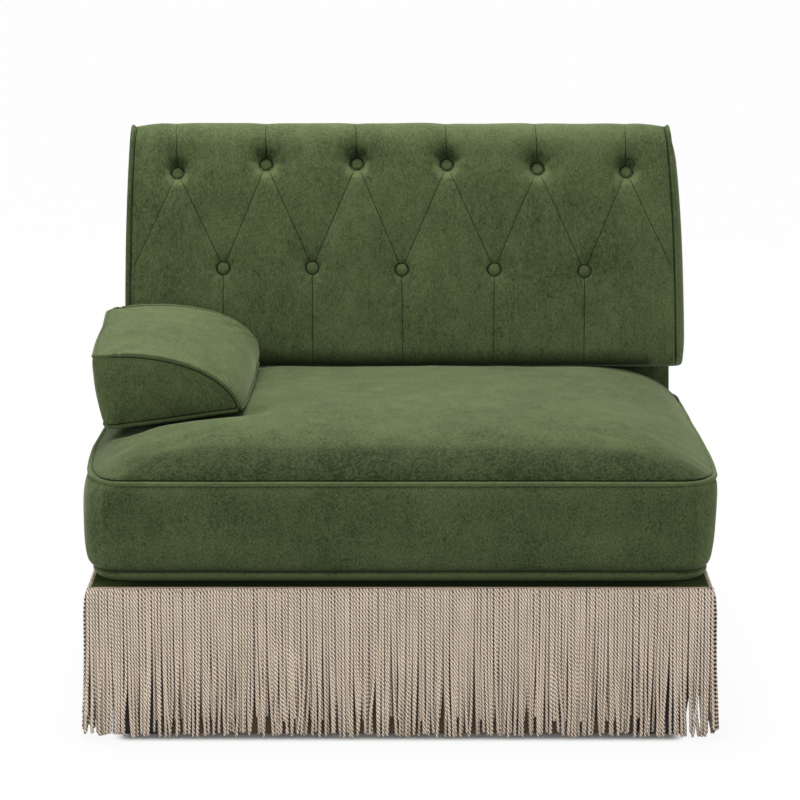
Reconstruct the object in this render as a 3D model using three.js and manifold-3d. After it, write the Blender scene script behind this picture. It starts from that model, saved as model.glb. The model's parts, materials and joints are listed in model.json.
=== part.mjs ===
// One-armed velvet couch with a diamond tufted back, a loose seat cushion,
// a loose arm bolster and a base hung with corded fringe. Millimetres, +Z up.
// While it is put together, Y runs back from the front face of the base.
import * as THREE from "three";
import { mergeVertices } from "three/addons/utils/BufferGeometryUtils.js";
import Module from "manifold-3d";

// Clearances
const contactGap = 0.3;
const cushionGap = 0.8;
const bolsterGap = 0.9;
const cutOverrun = 5;

// Base box
const baseWidth = 970;
const baseDepth = 800;
const railBottom = 105;
const railHeight = 131;
const railThickness = 32;
const borderThickness = 3.7;
const stretcherWidth = 36;
const stretcherHeight = 80;
const springRailHeight = 50;
const blockWidth = 90;
const blockHeight = 60;

// Feet
const footTopWidth = 85;
const footSideInset = 18;
const footFrontInset = 4;
const footSideTaper = 13;
const footFrontTaper = 5;
const footEdge = 4;
const studDiameter = 8;
const studLength = 40;
const studBoreDiameter = 9;

// Seat springs and deck
const springCount = 4;
const springWireDiameter = 4;
const springSwingWidth = 27;
const springPitch = 58;
const springLoopWidth = 9;
const springEndInset = 12;
const clipWidth = 24;
const clipLength = 18;
const clipHeight = 3.6;
const deckRise = 4.8;
const deckThickness = 7.2;

// Boards and cloth under the base
const boardThickness = 6;
const boardFloorGap = 15;
const boardLap = 95;
const boardFootGap = 1.5;
const dustThickness = 1.2;
const dustRailLap = 20;
const dustFootGap = 3;

// Fringe
const cordDiameter = 6.6;
const cordPitch = 11.8;
const tapeThickness = 3;
const tapeHeight = 22;
const headerHeight = 6;
const fringeFloorGap = 5;
const fringeRagged = 11;
const fringeFlare = 11;
const fringeSway = 1.4;
const fringeCornerRun = 70;

// Back frame, raked as one unit
const backRake = THREE.MathUtils.degToRad(12);
const backFootDepth = 105.5;
const backHeadDrop = 35;
const coverThickness = 4;
const strapThickness = 1.4;
const strapWidth = 50;
const webbingInset = 12;
const webbingUprights = 7;
const webbingCrosses = 5;
const backRailDepth = 55;
const lowerRailBottom = 80;
const lowerRailHeight = 70;
const topRailHeight = 66;
const plateThickness = 3;
const plateWidth = 42;
const plateHeight = 100;
const plateRailLap = 50;
const plateRailClearance = 4;

// Back pad, in the frame of the raked back
const padSeatGap = 4.6;
const padHeight = 424;
const padBottomDepth = 155;
const padTopDepth = 132;
const padSideInset = 1;
const padTopNarrowing = 13;
const padSideBulge = 13;
const padFaceCrown = 14;
const padTopRoll = 46;
const padRearRollShare = 0.4;
const padFootDrawShare = 0.06;
// Rings over the head of the pad: face level and height below the top, and draw
const padHeadShares = [[0.6, 0.6, 0.05], [0.28, 0.2, 0.15], [0.1, 0, 0.34]];
// Side of the pad behind its welt: out from the edge, and back
const padSideShares = [[0.27, 0.04], [0.55, 0.16], [1, 0.5], [0.4, 0.88], [-0.27, 1]];
const padBottomRoll = 9;
const weltRadius = 3.5;
const tuftPitch = 158.5;
const upperTufts = 6;
const upperTuftRise = 351;
const upperTuftDrop = 14;
const lowerTuftRise = 164;
const upperTuftDepth = 24;
const lowerTuftDepth = 13;
const tuftSpread = 26;
const foldDepth = 9;
const foldSpread = 13;
const buttonDiameter = 26;
const buttonDome = 6.5;
const buttonEdge = 3;
const buttonCrestShares = [0.6, 0.85];

// Seat cushion
const seatOverhang = 11;
const seatFront = 20;
const seatLowerSeam = 20;
const seatUpperSeam = 163;
const seatCrown = 74;
const seatBulge = 8;
const seatFrontBulge = 18;
const seatLowerInset = 5;
const seatFootInset = 30;
const seatCorner = 60;
const seatFootShare = 0.33;
// Side of the cushion between its seams: height, side bulge and front bulge
const seatSideShares = [[0.24, 0.67, 0.75], [0.5, 1, 1], [0.78, 0.67, 0.67]];
const crownShares = [0.985, 0.94, 0.88, 0.79, 0.64, 0.4];
const crownPower = 6.5;

// Arm bolster
const armWidth = 249;
const armHeight = 119;
const armLength = 330;
const armSideInset = 9;
const armPadGap = 11.3;
const armRise = 37;
const armRoll = THREE.MathUtils.degToRad(8.3);
const armPitch = THREE.MathUtils.degToRad(5.2);
const armFaceCrown = 7;
const armEdgeRound = 20;
const armEdgeReach = 45;
const armEdgeRun = 60;
// Sections of the bolster, from the inner tip over the top to the outer flank
const armFrontShares = [
  [0.914, 0], [0.882, 0.238], [0.79, 0.478], [0.644, 0.692], [0.458, 0.858], [0.247, 0.964], [0.04, 1],
];
const armBodyShares = [
  [1, 0], [0.97, 0.284], [0.88, 0.511], [0.735, 0.695], [0.54, 0.832], [0.301, 0.917], [0, 0.945],
];
const armFlankShares = [0.75, 0.5, 0.25];
const armSoleShares = [0, 0.17, 0.33, 0.5, 0.67, 0.83];
const armHeartShares = [0.4, 0.45];
// Along the bolster: place, and how far the section has grown from the front to the body
const armLengthShares = [
  [0.02, 0.25], [0.06, 0.4], [0.16, 0.51], [0.32, 0.63], [0.55, 0.82], [0.78, 0.96], [0.96, 1],
];

// Facets
const springSteps = 4;
const cornerSteps = 3;
const sideSteps = 5;
const frontSteps = 6;
const wireSides = 4;
const cordSides = 3;
const roundSides = 10;
const columnsPerTuft = 6;
const lowerRows = 4;
const upperRows = 6;
const armArcSteps = 12;

const railTop = railBottom + railHeight;
const deckTop = railTop + deckRise + deckThickness;
const halfBase = baseWidth / 2;
const railOuter = halfBase - borderThickness - contactGap;
const railInner = railOuter - railThickness;
const frontRailBack = borderThickness + contactGap + railThickness;
const backRailFront = baseDepth - frontRailBack;
const backFoot = baseDepth - backFootDepth;
const springRailFront = backFoot - railThickness;

// Levels and half widths that follow the base and the cushions
const seatHalfWidth = halfBase + seatOverhang;
const upperSeam = deckTop + seatUpperSeam;
const lowerSeam = deckTop + seatLowerSeam;
const crownTop = upperSeam + seatCrown;
const padFootLevel = crownTop + padSeatGap - railTop - contactGap;
const padBottom = (padFootLevel - padBottomDepth * Math.sin(backRake)) / Math.cos(backRake);
const padTop = padBottom + padHeight;
const padHalfWidth = halfBase - padSideInset;
const upperTuftHeight = padBottom + upperTuftRise;
const lowerTuftHeight = padBottom + lowerTuftRise;
const backHeight = padTop - backHeadDrop;
const padFootFront = backFoot + padBottom * Math.sin(backRake) - padBottomDepth * Math.cos(backRake);
const armFront = padFootFront - armPadGap - armLength * Math.cos(armPitch);

const wasm = await Module();
wasm.setup();

const velvet = new THREE.MeshStandardMaterial({ color: 0x4e6238, roughness: 0.9 });
const cord = new THREE.MeshStandardMaterial({ color: 0xb5a290, roughness: 0.85 });
const timber = new THREE.MeshStandardMaterial({ color: 0xb58f5e, roughness: 0.8 });
const blackWood = new THREE.MeshStandardMaterial({ color: 0x17161a, roughness: 0.5 });
const board = new THREE.MeshStandardMaterial({ color: 0x6b5a48, roughness: 0.8 });
const steel = new THREE.MeshStandardMaterial({ color: 0x8d9094, roughness: 0.4, metalness: 1 });
const blackCloth = new THREE.MeshStandardMaterial({ color: 0x202022, roughness: 0.95 });
const jute = new THREE.MeshStandardMaterial({ color: 0xa98d5f, roughness: 0.95 });

const couch = new THREE.Group();
const base = new THREE.Group();
const back = new THREE.Group();
couch.add(base, back);

function add(group, name, geometry, material) {
  const mesh = new THREE.Mesh(geometry, material.clone());
  mesh.name = name;
  group.add(mesh);
  return mesh;
}

// A box given by its lowest and highest corner
function box(x0, x1, y0, y1, z0, z1) {
  const shape = new THREE.BoxGeometry(x1 - x0, y1 - y0, z1 - z0);
  return shape.translate((x0 + x1) / 2, (y0 + y1) / 2, (z0 + z1) / 2);
}

// Outline points joined in order and extruded by the given depth along Z
function plate(points, depth) {
  const shape = new THREE.Shape(points.map(([a, b]) => new THREE.Vector2(a, b)));
  return new THREE.ExtrudeGeometry(shape, { depth, bevelEnabled: false, steps: 1 });
}

// The same, with the outline in the Y-Z plane and the depth along X from x0
function sidePlate(points, x0, x1) {
  const turn = new THREE.Matrix4().makeBasis(
    new THREE.Vector3(0, 1, 0),
    new THREE.Vector3(0, 0, 1),
    new THREE.Vector3(1, 0, 0),
  );
  return plate(points, x1 - x0).applyMatrix4(turn).translate(x0, 0, 0);
}

// Rings of points joined into a skin, closed at both ends by fans to a centre
function loft(rings) {
  const count = rings[0].length;
  const points = rings.flat();
  const top = points.length - count;
  points.push(centreOf(rings[0]), centreOf(rings.at(-1)));
  const faces = [];
  for (let j = 0; j < count; j++) {
    const k = (j + 1) % count;
    for (let low = 0; low < top; low += count) {
      const high = low + count;
      faces.push(low + j, low + k, high + k, low + j, high + k, high + j);
    }
    faces.push(j, points.length - 2, k, top + j, top + k, points.length - 1);
  }
  const geometry = new THREE.BufferGeometry().setFromPoints(points);
  geometry.setIndex(faces);
  geometry.computeVertexNormals();
  return geometry;
}

function centreOf(ring) {
  if (ring.centre) return ring.centre;
  const sum = ring.reduce((a, p) => a.add(p), new THREE.Vector3());
  return sum.divideScalar(ring.length);
}

// Geometry to solid and back, for joining and cutting
function solid(geometry) {
  const bare = geometry.clone();
  bare.deleteAttribute("normal");
  bare.deleteAttribute("uv");
  const merged = mergeVertices(bare);
  return new wasm.Manifold(
    new wasm.Mesh({
      numProp: 3,
      vertProperties: new Float32Array(merged.attributes.position.array),
      triVerts: new Uint32Array(merged.index.array),
    }),
  );
}

function geometryOf(body) {
  const mesh = body.getMesh();
  const geometry = new THREE.BufferGeometry();
  geometry.setAttribute("position", new THREE.BufferAttribute(mesh.vertProperties, 3));
  geometry.setIndex(new THREE.BufferAttribute(mesh.triVerts, 1));
  geometry.computeVertexNormals();
  return geometry;
}

// An upright cylinder standing on z0
function post(radius, x, y, z0, z1) {
  const shape = new THREE.CylinderGeometry(radius, radius, z1 - z0, roundSides);
  return shape.rotateX(Math.PI / 2).translate(x, y, (z0 + z1) / 2);
}

// Repeatable number from 0 to 1
function chance(i, row) {
  const value = Math.sin(i * 12.9898 + row * 78.233) * 43758.5453;
  return value - Math.floor(value);
}

// Base rails, the shelf rail for the rear ends of the springs, and a stretcher
function addRails() {
  const front = borderThickness + contactGap;
  const rear = baseDepth - front;
  const sideFront = frontRailBack + contactGap;
  const sideRear = backRailFront - contactGap;
  const rail = (name, x0, x1, y0, y1) =>
    add(base, name, box(x0, x1, y0, y1, railBottom, railTop), timber);
  rail("base_front_rail", -railOuter, railOuter, front, frontRailBack);
  rail("base_back_rail", -railOuter, railOuter, backRailFront, rear);
  rail("base_left_rail", -railOuter, -railInner, sideFront, sideRear);
  rail("base_right_rail", railInner, railOuter, sideFront, sideRear);
  const across = railInner - contactGap;
  const shelf = railTop - springRailHeight;
  const shelfRear = springRailFront + railThickness;
  const springRail = box(-across, across, springRailFront, shelfRear, shelf, railTop);
  add(base, "base_spring_rail", springRail, timber);
  const half = stretcherWidth / 2;
  const low = sideFront + boardThickness + contactGap;
  const high = railBottom + stretcherHeight;
  add(base, "base_stretcher", box(-half, half, low, sideRear, railBottom, high), timber);
}

// Velvet borders over the outer faces of the rails
function addBorders() {
  const inner = halfBase - borderThickness;
  const sideFront = borderThickness + contactGap;
  const sideRear = baseDepth - sideFront;
  add(base, "border_front", box(-halfBase, halfBase, 0, borderThickness, railBottom, railTop), velvet);
  const rear = baseDepth - borderThickness;
  add(base, "border_back", box(-halfBase, halfBase, rear, baseDepth, railBottom, railTop), velvet);
  add(base, "border_left", box(-halfBase, -inner, sideFront, sideRear, railBottom, railTop), velvet);
  add(base, "border_right", box(inner, halfBase, sideFront, sideRear, railBottom, railTop), velvet);
}

const footCentreX = halfBase - footSideInset - footTopWidth / 2;
const footCentreY = footFrontInset + footTopWidth / 2;

// Corner places: name, side sign and depth sign
const corners = [
  ["front_left", -1, 1],
  ["front_right", 1, 1],
  ["back_left", -1, -1],
  ["back_right", 1, -1],
];

// Glued blocks in the inner corners, bored for the studs of the feet
function addCornerBlocks() {
  for (const [name, side, depth] of corners) {
    const x = side * (railInner - contactGap);
    const y = depth > 0 ? frontRailBack + contactGap : backRailFront - contactGap;
    const points = [[x, y], [x - side * blockWidth, y], [x, y + depth * blockWidth]];
    if (side * depth > 0) points.reverse();
    const block = plate(points, blockHeight).translate(0, 0, railBottom);
    const boreY = depth > 0 ? footCentreY : baseDepth - footCentreY;
    const top = railBottom + blockHeight + cutOverrun;
    const bore = post(studBoreDiameter / 2, side * footCentreX, boreY, railBottom - cutOverrun, top);
    add(base, "corner_block_" + name, geometryOf(solid(block).subtract(solid(bore))), timber);
  }
}

// Square ring with cut corners, from its four sides
function footRing(x0, x1, y0, y1, z) {
  const cut = footEdge;
  const points = [
    [x0 + cut, y0], [x1 - cut, y0], [x1, y0 + cut], [x1, y1 - cut],
    [x1 - cut, y1], [x0 + cut, y1], [x0, y1 - cut], [x0, y0 + cut],
  ];
  return points.map(([x, y]) => new THREE.Vector3(x, y, z));
}

// Black feet: the outer side and the front draw in towards the floor
function addFeet() {
  const half = footTopWidth / 2;
  const height = railBottom - contactGap;
  const low = footEdge / 2;
  for (const [name, side, depth] of corners) {
    const inX = side > 0 ? [0, footSideTaper] : [footSideTaper, 0];
    const inY = depth > 0 ? [footFrontTaper, 0] : [0, footFrontTaper];
    const ring = (share, inset, z) =>
      footRing(
        -half + inX[0] * share + inset,
        half - inX[1] * share - inset,
        -half + inY[0] * share + inset,
        half - inY[1] * share - inset,
        z,
      );
    const body = loft([ring(1, low, 0), ring(1, 0, low), ring(0, 0, height)]);
    const stud = post(studDiameter / 2, 0, 0, height - studLength / 2, height + studLength);
    const foot = add(base, "foot_" + name, geometryOf(solid(body).add(solid(stud))), blackWood);
    foot.position.set(side * footCentreX, depth > 0 ? footCentreY : baseDepth - footCentreY, 0);
  }
}

// Folded clip that holds the end of a spring down on its rail
function springClip(y, sign) {
  const reach = y + sign * clipLength;
  const lap = springWireDiameter / 4;
  const low = railTop + contactGap;
  const half = clipWidth / 2;
  return box(-half, half, Math.min(y, reach) - lap, Math.max(y, reach) + lap, low, low + clipHeight);
}

// Sinuous springs: wire waves with looped bends, a clip at each end
function addSprings() {
  const first = frontRailBack - springEndInset;
  const last = springRailFront + springEndInset;
  const turns = Math.round((last - first) / springPitch);
  const pitch = (last - first) / turns;
  const z = railTop + contactGap + springWireDiameter / 2;
  const spacing = (2 * railInner) / (springCount + 1);
  for (let s = 0; s < springCount; s++) {
    const points = [];
    for (let i = 0; i <= turns * springSteps; i++) {
      const angle = (i / springSteps) * Math.PI;
      const across = springSwingWidth * Math.sin(angle);
      const along = (pitch * angle) / Math.PI - springLoopWidth * Math.sin(2 * angle);
      points.push(new THREE.Vector3(across, first + along, z));
    }
    const ends = solid(springClip(first, -1)).add(solid(springClip(last, 1)));
    const spring = solid(wire(points, springWireDiameter / 2)).add(ends);
    const mesh = add(base, "seat_spring_" + (s + 1), geometryOf(spring), steel);
    mesh.position.x = -railInner + spacing * (s + 1);
  }
}

// A wire of few sides along points in one level plane
function wire(points, radius) {
  const rings = points.map((p, i) => {
    const ahead = points[Math.min(i + 1, points.length - 1)];
    const behind = points[Math.max(i - 1, 0)];
    const along = ahead.clone().sub(behind).normalize();
    const side = new THREE.Vector3(-along.y, along.x, 0);
    const ring = [];
    for (let j = 0; j < wireSides; j++) {
      const angle = ((j + 0.5) / wireSides) * 2 * Math.PI;
      const out = side.clone().multiplyScalar(Math.cos(angle) * radius);
      out.z = Math.sin(angle) * radius;
      ring.push(p.clone().add(out));
    }
    return ring;
  });
  return loft(rings);
}

// Deck pad over the springs, up to the foot of the back
function addDeck() {
  const low = railTop + deckRise;
  add(base, "deck_pad", box(-halfBase, halfBase, 0, backFoot - contactGap, low, deckTop), velvet);
}

// Brown board that hangs behind the front fringe, between the feet
function addBackingBoard() {
  const wide = footCentreX - footTopWidth / 2 - boardFootGap;
  const narrow = railInner - blockWidth - contactGap - boardFootGap;
  const top = railBottom + boardLap;
  const lip = railBottom - contactGap;
  const points = [
    [-wide, boardFloorGap], [wide, boardFloorGap], [wide, lip], [narrow, lip],
    [narrow, top], [-narrow, top], [-narrow, lip], [-wide, lip],
  ];
  const sheet = plate(points, boardThickness).rotateX(Math.PI / 2);
  const y = frontRailBack + contactGap + boardThickness;
  add(base, "fringe_backing_board", sheet.translate(0, y, 0), board);
}

// Black cloth stapled under the rails and cut round the feet
function addDustCover() {
  const wide = railInner + dustRailLap;
  const narrow = footCentreX - footTopWidth / 2 - dustFootGap;
  const front = frontRailBack + boardThickness + 2 * contactGap;
  const rear = backRailFront + dustRailLap;
  const footBack = footFrontInset + footTopWidth + dustFootGap;
  const footRear = baseDepth - footBack;
  const points = [
    [-narrow, front], [narrow, front], [narrow, footBack], [wide, footBack],
    [wide, footRear], [narrow, footRear], [narrow, rear], [-narrow, rear],
    [-narrow, footRear], [-wide, footRear], [-wide, footBack], [-narrow, footBack],
  ];
  const z = railBottom - contactGap - dustThickness;
  add(base, "dust_cover", plate(points, dustThickness).translate(0, 0, z), blackCloth);
}

// One hanging cord of three sides, flaring and swaying towards its end
function cordSkin(along, out, top, bottom, row, i, splay) {
  const sway = fringeSway * (2 * chance(i, row) - 1);
  const kick = fringeSway * (2 * chance(i, row + 1) - 1);
  const places = [[along, out, top], [along + sway + splay, out - fringeFlare + kick, bottom]];
  const rings = places.map(([x, y, z]) => {
    const ring = [];
    for (let j = 0; j < cordSides; j++) {
      const angle = Math.PI / 2 - ((j + 0.5) / cordSides) * 2 * Math.PI;
      const reach = cordDiameter / 2;
      ring.push(new THREE.Vector3(x + reach * Math.cos(angle), y + reach * Math.sin(angle), z));
    }
    return ring;
  });
  return loft(rings);
}

// One side of fringe: tape and header with its cords, outward along -Y
function fringeSide(length, row, hem) {
  const half = length / 2;
  const tapeFront = -contactGap - tapeThickness;
  const tapeMiddle = tapeFront + tapeThickness / 2;
  const headerFront = tapeFront - cordDiameter;
  const cordY = tapeFront - cordDiameter / 2;
  const tape = box(-half, half, tapeFront, -contactGap, hem - tapeHeight, hem);
  const header = box(-half, half, headerFront, tapeMiddle, hem - headerHeight, hem);
  const count = Math.round(length / cordPitch);
  const pitch = length / count;
  const top = hem - headerHeight / 2;
  let body = solid(tape).add(solid(header));
  for (let i = 0; i < count; i++) {
    const along = -half + pitch * (i + 0.5);
    const run = Math.max(0, Math.abs(along) - half + fringeCornerRun) / fringeCornerRun;
    const splay = Math.sign(along) * fringeFlare * run;
    const bottom = fringeFloorGap + fringeRagged * chance(i, row + 2);
    body = body.add(solid(cordSkin(along, cordY, top, bottom, row, i, splay)));
  }
  return geometryOf(body);
}

function addFringe() {
  const long = baseWidth + 2 * (contactGap + tapeThickness);
  const sides = [
    ["fringe_front", long, 0, 0, deckTop],
    ["fringe_right", baseDepth, halfBase, baseDepth / 2, deckTop],
    ["fringe_back", long, 0, baseDepth, railTop],
    ["fringe_left", baseDepth, -halfBase, baseDepth / 2, deckTop],
  ];
  sides.forEach(([name, length, x, y, hem], quarter) => {
    const mesh = add(base, name, fringeSide(length, 4 * quarter, hem), cord);
    mesh.position.set(x, y, 0);
    mesh.rotation.z = (quarter * Math.PI) / 2;
  });
}

// Depth of the raked back, so that its rear meets the rear of the base
const backDepth = (baseDepth - backFoot) * Math.cos(backRake);
const timberFront = coverThickness + 1.5 * strapThickness + 2 * contactGap;
const timberRear = backDepth - coverThickness - contactGap;

// Height in the raked frame of the level cut at the foot, at depth v
function footCut(v) {
  return v * Math.tan(backRake);
}

// Posts, rails, webbing and velvet covers of the back
function addBackFrame() {
  const postTop = backHeight - contactGap;
  const postOutline = [
    [timberFront, footCut(timberFront)], [timberRear, footCut(timberRear)],
    [timberRear, postTop], [timberFront, postTop],
  ];
  add(back, "back_left_post", sidePlate(postOutline, -railOuter, -railInner), timber);
  add(back, "back_right_post", sidePlate(postOutline, railInner, railOuter), timber);
  const railHalf = railInner - contactGap;
  const railFront = timberRear - backRailDepth;
  const lowerTop = lowerRailBottom + lowerRailHeight;
  const lower = box(-railHalf, railHalf, railFront, timberRear, lowerRailBottom, lowerTop);
  const upperLow = postTop - topRailHeight;
  const upper = box(-railHalf, railHalf, timberFront, timberRear, upperLow, postTop);
  add(back, "back_lower_rail", lower, timber);
  add(back, "back_top_rail", upper, timber);
  const coverTop = backHeight + coverThickness;
  const frontCover = [
    [0, 0], [coverThickness, footCut(coverThickness)],
    [coverThickness, postTop], [0, postTop],
  ];
  add(back, "inside_back_cover", sidePlate(frontCover, -halfBase, halfBase), velvet);
  const rear = backDepth - coverThickness;
  const outsideCover = [
    [rear, footCut(rear)], [backDepth, footCut(backDepth)], [backDepth, coverTop],
    [0, coverTop], [0, backHeight], [rear, backHeight],
  ];
  add(back, "outside_back_cover", sidePlate(outsideCover, -halfBase, halfBase), velvet);
  const sideFront = coverThickness + contactGap;
  const sideRear = rear - contactGap;
  const sideOutline = [
    [sideFront, footCut(sideFront)], [sideRear, footCut(sideRear)],
    [sideRear, postTop], [sideFront, postTop],
  ];
  add(back, "back_left_cover", sidePlate(sideOutline, -halfBase, -railOuter - contactGap), velvet);
  add(back, "back_right_cover", sidePlate(sideOutline, railOuter + contactGap, halfBase), velvet);
}

// Jute straps crossed over the front of the posts and rails
function addWebbing() {
  const half = railOuter - webbingInset;
  const low = webbingInset;
  const high = backHeight - webbingInset;
  const front = coverThickness + contactGap;
  const lap = strapThickness / 2;
  const stepX = (2 * half - strapWidth) / (webbingUprights - 1);
  const stepZ = (high - low - strapWidth) / (webbingCrosses - 1);
  const straps = [];
  for (let i = 0; i < webbingUprights; i++) {
    const x = -half + i * stepX;
    straps.push(box(x, x + strapWidth, front, front + strapThickness, low, high));
  }
  for (let i = 0; i < webbingCrosses; i++) {
    const z = low + i * stepZ;
    straps.push(box(-half, half, front + lap, front + lap + strapThickness, z, z + strapWidth));
  }
  const net = straps.map(solid).reduce((all, strap) => all.add(strap));
  add(back, "back_webbing", geometryOf(net), jute);
}

// Steel plates that hold the posts to the side rails
function addBackPlates() {
  const y = backRailFront - plateRailClearance;
  const z = railTop - plateRailLap;
  const outer = railInner - contactGap;
  const inner = outer - plateThickness;
  for (const [name, x0, x1] of [["left", -outer, -inner], ["right", inner, outer]]) {
    add(base, "back_plate_" + name, box(x0, x1, y - plateWidth, y, z, z + plateHeight), steel);
  }
}

// Button places on the face of the pad
function tufts() {
  const middle = (upperTufts - 1) / 2;
  const upper = [];
  for (let i = 0; i < upperTufts; i++) {
    const step = i - middle;
    const drop = upperTuftDrop * Math.pow(Math.abs(step) / middle, 3);
    upper.push([step * tuftPitch, upperTuftHeight - drop]);
  }
  const lower = upper.slice(1).map((place, i) => [(i + 0.5 - middle) * tuftPitch, lowerTuftHeight]);
  return { upper, lower };
}

// Sewn folds: diamonds between the rows, plumb above and below them
function folds() {
  const { upper, lower } = tufts();
  const lines = [];
  for (const [x, w] of upper) {
    lines.push([x, w, x, padTop]);
    lines.push([x, w, x - tuftPitch / 2, lowerTuftHeight]);
    lines.push([x, w, x + tuftPitch / 2, lowerTuftHeight]);
  }
  for (const [x, w] of lower) lines.push([x, w, x, padBottom]);
  return lines;
}

function lineDistance(x, w, [x0, w0, x1, w1]) {
  const dx = x1 - x0;
  const dw = w1 - w0;
  const share = ((x - x0) * dx + (w - w0) * dw) / (dx * dx + dw * dw);
  const t = Math.min(1, Math.max(0, share));
  return Math.hypot(x - x0 - t * dx, w - w0 - t * dw);
}

function bell(distance, spread) {
  return Math.exp(-((distance / spread) ** 2));
}

// Columns of the face on each side, whole ones inside the edge and one on it
const columnPitch = tuftPitch / columnsPerTuft;
const padColumns = Math.ceil((padHalfWidth - padTopNarrowing - weltRadius) / columnPitch);

const padFolds = folds();
const padTufts = tufts();
const pocketRadius = buttonDiameter / 2 + cushionGap;

function padEdge(w) {
  const share = (w - padBottom) / (padTop - padBottom);
  return padHalfWidth - padTopNarrowing * share ** 3;
}

// Pull of the nearest fold and of every button on the face
function padPull(x, w) {
  const near = Math.min(...padFolds.map((line) => lineDistance(x, w, line)));
  const reach = (row, depth) =>
    row.reduce((sum, [bx, bw]) => sum + depth * bell(Math.hypot(x - bx, w - bw), tuftSpread), 0);
  const tufted = reach(padTufts.upper, upperTuftDepth) + reach(padTufts.lower, lowerTuftDepth);
  return foldDepth * bell(near, foldSpread) + tufted;
}

// Place of the pad's face in depth: crowned across, pulled in by the sewing
function padFace(x, w) {
  const share = (w - padBottom) / (padTop - padBottom);
  const depth = padBottomDepth + (padTopDepth - padBottomDepth) * share;
  const edge = Math.min(1, Math.abs(x) / padEdge(w));
  return -(depth - padFaceCrown * edge ** 6 - padPull(x, w));
}

// One ring round the pad: tufted face, bulging sides and flat back, drawn in by a share
function padRing(w, drawShare, height) {
  const edge = padEdge(w);
  const rear = -contactGap - padTopRoll * padRearRollShare * drawShare;
  const ring = [];
  for (let i = -padColumns; i <= padColumns; i++) {
    const x = Math.abs(i) < padColumns ? i * columnPitch : Math.sign(i) * edge;
    const face = padFace(x, w);
    ring.push(new THREE.Vector3(x, face + (rear - face) * drawShare, height));
  }
  const first = ring[0].y;
  const bulge = padSideBulge * (1 - drawShare);
  const right = padSideShares.map(([outShare, depthShare]) => {
    const y = first + (rear - first) * depthShare;
    return new THREE.Vector3(edge + bulge * outShare, y, height);
  });
  const left = right.map((p) => new THREE.Vector3(-p.x, p.y, p.z)).reverse();
  return ring.concat(right, [new THREE.Vector3(0, rear, height)], left);
}

function addBackPad() {
  const foot = padBottom + padBottomRoll;
  const rows = [padRing(foot, padFootDrawShare, padBottom), padRing(foot, 0, foot)];
  const levels = evenly(foot, lowerTuftHeight, lowerRows);
  levels.push(...evenly(lowerTuftHeight, upperTuftHeight, upperRows));
  for (const w of levels) rows.push(padRing(w, 0, w));
  for (const [faceShare, heightShare, drawShare] of padHeadShares) {
    rows.push(padRing(padTop - padTopRoll * faceShare, drawShare, padTop - padTopRoll * heightShare));
  }
  let pad = solid(loft(rows));
  for (const [x, w] of [...padTufts.upper, ...padTufts.lower]) {
    const pocket = new THREE.CylinderGeometry(pocketRadius, pocketRadius, padBottomDepth, roundSides);
    pad = pad.subtract(solid(pocket.translate(x, padFace(x, w) - padBottomDepth / 2, w)));
  }
  add(back, "back_pad", geometryOf(pad), velvet);
}

// Steps from a to b, without a itself
function evenly(a, b, count) {
  return Array.from({ length: count }, (_, i) => a + ((b - a) * (i + 1)) / count);
}

// Covered buttons pulled into the face
function addButtons() {
  const radius = buttonDiameter / 2;
  const profile = [
    [0, 0], [radius - buttonEdge / 2, 0], [radius, buttonEdge],
    [radius * buttonCrestShares[0], buttonDome * buttonCrestShares[1]], [0, buttonDome],
  ].map(([a, b]) => new THREE.Vector2(a, b));
  const rows = [["upper", padTufts.upper], ["lower", padTufts.lower]];
  for (const [name, places] of rows) {
    places.forEach(([x, w], i) => {
      const button = new THREE.LatheGeometry(profile, roundSides).rotateX(Math.PI);
      const mesh = add(back, "tuft_button_" + name + "_" + (i + 1), button, velvet);
      mesh.position.set(x, padFace(x, w) - contactGap, w);
    });
  }
}

// Height of the seat's crown over its upper seam, by its share of the outline
function crownAt(share) {
  return seatCrown * (1 - Math.pow(Math.min(1, share), crownPower));
}

// The front of the back's cover at a height, where the cushion leans on it
function backLine(z) {
  return backFoot + (z - railTop) * Math.tan(backRake);
}

// Rounded outline of the cushion at one level
function seatOutline(half, front, rear, corner, z) {
  const ring = [];
  const rounds = [
    [half - corner, front + corner, -Math.PI / 2],
    [half - corner, rear - corner, 0],
    [corner - half, rear - corner, Math.PI / 2],
    [corner - half, front + corner, Math.PI],
  ];
  const steps = [sideSteps, frontSteps, sideSteps, frontSteps];
  rounds.forEach(([x, y, start], i) => {
    for (let j = 0; j <= cornerSteps; j++) {
      const angle = start + (j / cornerSteps) * (Math.PI / 2);
      ring.push(new THREE.Vector3(x + corner * Math.cos(angle), y + corner * Math.sin(angle), z));
    }
    const from = ring.at(-1).clone();
    const [nx, ny, next] = rounds[(i + 1) % 4];
    const to = new THREE.Vector3(nx + corner * Math.cos(next), ny + corner * Math.sin(next), z);
    for (let j = 1; j < steps[i]; j++) ring.push(from.clone().lerp(to, j / steps[i]));
  });
  return ring;
}

const seatRest = deckTop + contactGap;
const seatRear = backLine(upperSeam) - cushionGap;
const seatMiddle = (seatFront + seatRear) / 2;
const seatHalfDepth = (seatRear - seatFront) / 2;

// One level of the cushion: grown at the sides and the front, raked at the back
function seatLevel(z, sideGrowth, frontGrowth) {
  const half = seatHalfWidth + sideGrowth;
  return seatOutline(half, seatFront - frontGrowth, backLine(z) - cushionGap, seatCorner, z);
}

// A sewn seam with its welt: in, out and in again
function seamLevels(z, growth) {
  const out = weltRadius;
  return [
    seatLevel(z - out, growth, 0),
    seatLevel(z, growth + out, out),
    seatLevel(z + out, growth, 0),
  ];
}

function seatTop(x, y) {
  const across = Math.abs(x) / seatHalfWidth;
  const along = Math.abs(y - seatMiddle) / seatHalfDepth;
  return upperSeam + crownAt(Math.max(across, along));
}

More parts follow.
